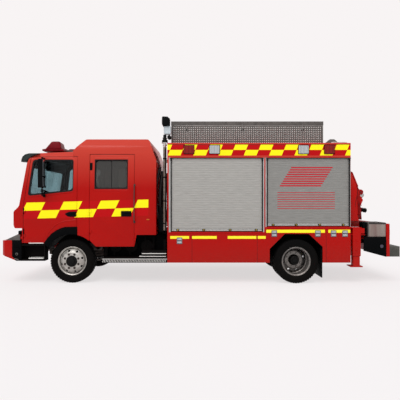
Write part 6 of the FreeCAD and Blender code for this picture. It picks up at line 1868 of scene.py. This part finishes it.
def dash_fittings():
    hood, dial, marks, keys = blank(4)
    x, top = dash_high[0], dash_high[2]
    dial_z = top - 0.082
    outline(hood, [(x - 0.1, top - 0.02), (x - 0.06, top + 0.055), (x + 0.012, top + 0.062),
        (x + 0.004, top + 0.045), (x - 0.045, top + 0.035), (x - 0.05, top - 0.02)], -0.86, -0.42, "XZ",
        0.006)
    for y in (-0.745, -0.545):
        rod(dial, (x - 0.05, y, dial_z - 0.005), (x + 0.004, y, dial_z), 0.068, 32, edge=0.003)
        shaft(marks, y, dial_z, x + 0.003, x + 0.006, 0.004, 10)
        for number in range(15):
            turn = math.radians(-215 + 250 * number / 14)
            at = Vector((x + 0.0035, y + 0.052 * math.cos(turn), dial_z - 0.052 * math.sin(turn)))
            rod(marks, at, at + Vector((0.0012, 0, 0)), 0.0035 if number % 2 else 0.005, 6)
        box(marks, (x + 0.003, y - 0.002, dial_z), (x + 0.0055, y + 0.002, dial_z + 0.038), 0.0008)
    for y in (-0.98, -0.28, 0.3, 0.6, 0.98):
        box(hood, (x - 0.02, y - 0.06, top - 0.105), (x + 0.008, y + 0.06, top - 0.035), 0.006)
        for z in spaced(5, top - 0.096, 0.0135):
            box(keys, (x + 0.004, y - 0.052, z), (x + 0.012, y + 0.052, z + 0.003), 0.001, 1)
    box(hood, (x - 0.02, -0.13, top - 0.25), (x + 0.01, 0.19, top - 0.12), 0.008)
    box(keys, (x + 0.006, -0.1, top - 0.225), (x + 0.013, 0.16, top - 0.15), 0.004)
    for y in spaced(8, -0.11, 0.037):
        box(keys, (x + 0.002, y, top - 0.31), (x + 0.014, y + 0.028, top - 0.27), 0.004)
    for y, lean in ((-0.8, -1), (-0.48, 1)):
        rod(hood, (x + 0.02, y, top - 0.05), (x + 0.045, y + lean * 0.115, top - 0.01), 0.008, 12, 0.011)
    box(hood, (x - 0.03, 0.42, top - 0.3), (x + 0.01, 0.98, top - 0.15), 0.012)
    box(keys, (x + 0.008, 0.65, top - 0.18), (x + 0.016, 0.76, top - 0.165), 0.003)
    pieces("cab", "", dash_hood_and_panels=(hood, dash_grain), dash_dials=(dial, black_plastic),
        dash_marks=(marks, white_paint), dash_switches=(keys, grey_plastic))


dash_fittings()
print("dashboard fitted")

# %% [markdown]
# ## Engine under the cab
# The cab tilts forward over an in-line diesel, so the engine has to look like one: a ribbed cast block, a
# finned sump, a bolted rocker cover, branches of the exhaust, a turbocharger, belt pulleys, and a radiator
# with its fan in front. Round parts are turned and the blades are one blade turned in equal steps.

# %% Engine, radiator and fan
def engine():
    low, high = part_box("engine")
    iron, dark, bright, rusty = blank(4)
    x0, x1, half = low[0] + 0.16, high[0], high[1]
    box(iron, (x0, -0.19, 0.7), (x1 - 0.1, 0.19, 1.0), 0.014, 3)
    box(iron, (x0 + 0.015, -0.165, 0.995), (x1 - 0.115, 0.165, 1.085), 0.01)
    outline(iron, [(-0.185, 0.705), (0.185, 0.705), (0.15, 0.56), (0.09, 0.505), (-0.09, 0.505),
        (-0.15, 0.56)], x0 + 0.02, x1 - 0.16, "YZ", 0.012, 3)
    box(dark, (x0 + 0.03, -0.12, 1.08), (x1 - 0.13, 0.12, 1.165), 0.024, 4)
    outline(iron, [(-0.24, 0.62), (0.24, 0.62), (0.27, 0.8), (0.21, 1.0), (-0.21, 1.0), (-0.27, 0.8)],
        x1 - 0.13, x1, "YZ", 0.012)
    for x in spaced(9, x0 + 0.05, 0.062):
        for side in (-1, 1):
            slab(iron, side, (x, x + 0.012), (0.185, 0.202), (0.715, 0.985), 0.004)
    for x in spaced(6, x0 + 0.07, 0.092):
        for side in (-1, 1):
            post(bright, x, side * 0.138, 1.083, 1.096, 0.01, 6)
        post(bright, x, 0.0, 1.16, 1.176, 0.013, 6)
        pipe(rusty, [(x, -0.16, 1.03), (x, -0.215, 1.03), (x, -0.252, 1.0), (x, -0.262, 0.965)], 0.022, 14)
        pipe(iron, [(x, 0.16, 1.035), (x, 0.205, 1.045), (x, 0.24, 1.02)], 0.02, 14)
    shaft(rusty, -0.262, 0.955, x0 + 0.05, x0 + 0.56, 0.034, 24, edge=0.006)
    shaft(iron, 0.255, 1.015, x0 + 0.05, x0 + 0.56, 0.04, 24, edge=0.008)
    scroll = [(0.0, 0.03), (0.0, 0.062), (0.018, 0.078), (0.05, 0.078), (0.066, 0.06), (0.09, 0.05),
        (0.11, 0.06), (0.14, 0.06), (0.156, 0.044), (0.156, 0.0)]
    turned(rusty, scroll, (x0 + 0.36, -0.24, 0.8), axis="Z", steps=32)
    rod(rusty, (x0 + 0.36, -0.245, 0.83), (x0 + 0.36, -0.262, 0.955), 0.03, 20)
    for y, z, radius in ((0.0, 0.64, 0.082), (0.0, 0.88, 0.06), (0.175, 0.8, 0.042), (-0.165, 0.91, 0.04)):
        groove = [(0.0, 0.0), (0.0, radius), (0.012, radius), (0.018, radius * 0.88), (0.024, radius),
            (0.036, radius), (0.036, 0.0)]
        turned(bright, groove, (0, 0, 0), axis="Z", steps=32)
        verts = list({v for v in bright.verts if v.co.length < 0.2})
        bmesh.ops.transform(bright, matrix=Matrix.Translation((x0 - 0.04, y,
            z)) @ Matrix.Rotation(math.pi / 2, 4, "Y"), verts=verts)
    rod(dark, (x0 + 0.2, 0.19, 0.73), (x0 + 0.2, 0.3, 0.7), 0.048, 28, edge=0.008)
    rod(bright, (x0 + 0.05, 0.19, 0.88), (x0 + 0.18, 0.2, 0.88), 0.062, 28, edge=0.008)
    box(dark, (low[0], -half + 0.005, 0.56), (low[0] + 0.05, half - 0.005, 1.18), 0.01)
    for z in spaced(38, 0.585, 0.0152):
        box(bright, (low[0] - 0.002, -half + 0.035, z), (low[0] + 0.052, half - 0.035, z + 0.005), 0)
    shaft(dark, 0, 0.88, low[0] + 0.06, low[0] + 0.115, 0.052, 24, edge=0.006)
    for number in range(9):
        turn = Matrix.Rotation(math.tau * number / 9, 4, "X")
        blade = box(dark, (-0.004, -0.042, 0.045), (0.004, 0.042, 0.255), 0.003, 1)
        place = Matrix.Translation((low[0] + 0.085, 0, 0.88)) @ turn @ Matrix.Rotation(0.5, 4, "Z")
        bmesh.ops.transform(dark, matrix=place, verts=blade)
    pipe(dark, [(low[0] + 0.03, 0.2, 1.14), (low[0] + 0.12, 0.18, 1.15), (x0 + 0.05, 0.12, 1.1),
        (x0 + 0.1, 0.06, 1.06)], 0.026, 14)
    pipe(dark, [(low[0] + 0.03, -0.22, 0.62), (low[0] + 0.12, -0.22, 0.6), (x0 + 0.05, -0.18, 0.66),
        (x0 + 0.1, -0.15, 0.72)], 0.026, 14)
    pieces("chassis", "", engine_castings=(iron, cast_iron, "engine"),
        engine_dark_parts=(dark, black_plastic), engine_bright_parts=(bright, rail_metal),
        engine_exhaust=(rusty, rusty_iron))


rusty_iron = grained("rusty_iron", (84, 52, 36), (122, 80, 56), 0.85, 0.3, scale=50, bump=0.4, deep=0.001)
engine()
print("engine made")

# %% [markdown]
# ## Under the body
# Straps hold the tanks, clamps hold the leaf springs, and a liner closes the rear arch so that the body's
# inside doesn't show past the twin wheels. The liner follows the arch's corners as one folded strip, with a
# wall behind the wheels that is open round the axle.

# %% Straps, caps, spring clamps and arch liners
ARCH = ((1.31, 0.4), (1.31, 0.658), (1.595, 0.942), (2.045, 0.942), (2.307, 0.7), (2.307, 0.4))
AXLE_GAP = ((2.09, 0.4), (2.09, 0.73), (1.55, 0.73), (1.55, 0.4))


def arch_liner(bm, side):
    """A folded strip inside the rear arch, and a wall behind the wheels that leaves the axle room."""
    middle_x, middle_z = 1.82, 0.42
    inner = [(middle_x + (x - middle_x) * 0.985, middle_z + (z - middle_z) * 0.985) for x, z in ARCH]
    outline(bm, list(ARCH) + inner[::-1], *across(side, 0.64, 1.192), "XZ")
    outline(bm, ARCH + AXLE_GAP, *across(side, 0.628, 0.634), "XZ")


def underbody():
    liner, strap, clamp = blank(3)
    tank_low, tank_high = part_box("tanks")
    for side in (-1, 1):
        arch_liner(liner, side)
        y0, y1 = across(side, 0.455, 0.955)
        for x in (-1.66, -1.36, -1.06, -0.9):
            box(strap, (x - 0.018, y0, tank_high[2] - 0.004), (x + 0.018, y1, tank_high[2] + 0.004), 0.002)
            slab(strap, side, (x - 0.018, x + 0.018), (0.945, 0.956), (tank_low[2] + 0.01, tank_high[2]),
                0.002)
            pin(strap, x, 0.6, side * 0.95, side * 0.966, 0.012, 6)
        post(clamp, -1.5, side * 0.7, tank_high[2], tank_high[2] + 0.03, 0.045, 28, edge=0.006)
        for axle in (FRONT_AXLE_X, REAR_AXLE_X):
            for offset in (-0.055, 0.055):
                post(clamp, axle + offset, side * 0.43, 0.4, 0.66, 0.011, 10)
                post(clamp, axle + offset, side * 0.36, 0.4, 0.66, 0.011, 10)
    pieces("chassis", "", arch_liners=(liner, flare_black), tank_straps=(strap, frame_paint),
        spring_clamps=(clamp, hub_black))


underbody()
print("underbody done")

# %% [markdown]
# ## Floor, light and camera
# The truck stands on a plain pale floor in an even, soft light, like an overcast yard: the sky gives the
# fill and one wide lamp from above and beside the camera gives the shape. The camera stands at eye height
# abreast of the truck's middle. The pale backdrop is only what the camera, gloss and glass see; the light
# on the truck stays at a level where a colour renders about as it is written.

# %% Floor, light and camera
SIDE_PLANE_Y = -1.2
VIEW_DISTANCE = 8.0
FRAME_WIDTH = 7.52
EYE_HEIGHT = 1.579
BACKDROP = tint(248, 244, 244)
BACKDROP_GLOW, SKY_STRENGTH = 0.72, 0.62
SUN_STRENGTH, SUN_SPREAD = 1.7, math.radians(38)
FLOOR_SIZE, SENSOR = 60, 36
scene = bpy.context.scene
scene.view_settings.view_transform = "Standard"

ground = bmesh.new()
bmesh.ops.create_grid(ground, x_segments=1, y_segments=1, size=FLOOR_SIZE)
mesh = bpy.data.meshes.new("ground")
ground.to_mesh(mesh)
ground.free()
floor = bpy.data.objects.new("ground", mesh)
scene.collection.objects.link(floor)
finish = Finish("floor", BACKDROP, 0.9, specular=0.0)
ray = finish.tree.nodes.new("ShaderNodeLightPath")
glow = finish.node("ShaderNodeEmission", (*BACKDROP, 1), 1.0)
seen = finish.sum("MAXIMUM", ray.outputs["Is Camera Ray"], ray.outputs["Is Transmission Ray"])
seen = finish.sum("MULTIPLY", finish.sum("MAXIMUM", seen, ray.outputs["Is Glossy Ray"]), BACKDROP_GLOW)
mixed = finish.node("ShaderNodeMixShader", seen, finish.bsdf.outputs[0], glow.outputs[0])
finish.tree.links.new(mixed.outputs[0], finish.tree.nodes["Material Output"].inputs["Surface"])
mesh.materials.append(finish.material)

world = bpy.data.worlds.new("sky")
scene.world = world
world.use_nodes = True
tree = world.node_tree
sky = tree.nodes["Background"]
sky.inputs["Color"].default_value = (0.93, 0.96, 1.0, 1)
sky.inputs["Strength"].default_value = SKY_STRENGTH
plain = tree.nodes.new("ShaderNodeBackground")
plain.inputs["Color"].default_value = (*BACKDROP, 1)
plain.inputs["Strength"].default_value = 1.0
path = tree.nodes.new("ShaderNodeLightPath")
shown = path.outputs["Is Camera Ray"]
for name in ("Is Transmission Ray", "Is Glossy Ray"):
    most = tree.nodes.new("ShaderNodeMath")
    most.operation = "MAXIMUM"
    tree.links.new(shown, most.inputs[0])
    tree.links.new(path.outputs[name], most.inputs[1])
    shown = most.outputs[0]
mix = tree.nodes.new("ShaderNodeMixShader")
tree.links.new(shown, mix.inputs[0])
tree.links.new(sky.outputs[0], mix.inputs[1])
tree.links.new(plain.outputs[0], mix.inputs[2])
tree.links.new(mix.outputs[0], tree.nodes["World Output"].inputs["Surface"])

sun = bpy.data.lights.new("soft_sun", "SUN")
sun.energy = SUN_STRENGTH
sun.angle = SUN_SPREAD
lamp = bpy.data.objects.new("soft_sun", sun)
lamp.rotation_euler = Vector((0.25, 0.8, -1.0)).to_track_quat("-Z", "Y").to_euler()
scene.collection.objects.link(lamp)

camera = bpy.data.objects.new("camera", bpy.data.cameras.new("camera"))
camera.data.sensor_width = SENSOR
camera.data.lens = SENSOR * VIEW_DISTANCE / FRAME_WIDTH
camera.location = (0, SIDE_PLANE_Y - VIEW_DISTANCE, EYE_HEIGHT)
camera.rotation_euler = (math.pi / 2, 0, 0)
scene.collection.objects.link(camera)
scene.camera = camera
print("camera at", tuple(round(v, 2) for v in camera.location), "lens", round(camera.data.lens, 1))

# %% Sizes and finish
print("pieces", len(made_pieces))
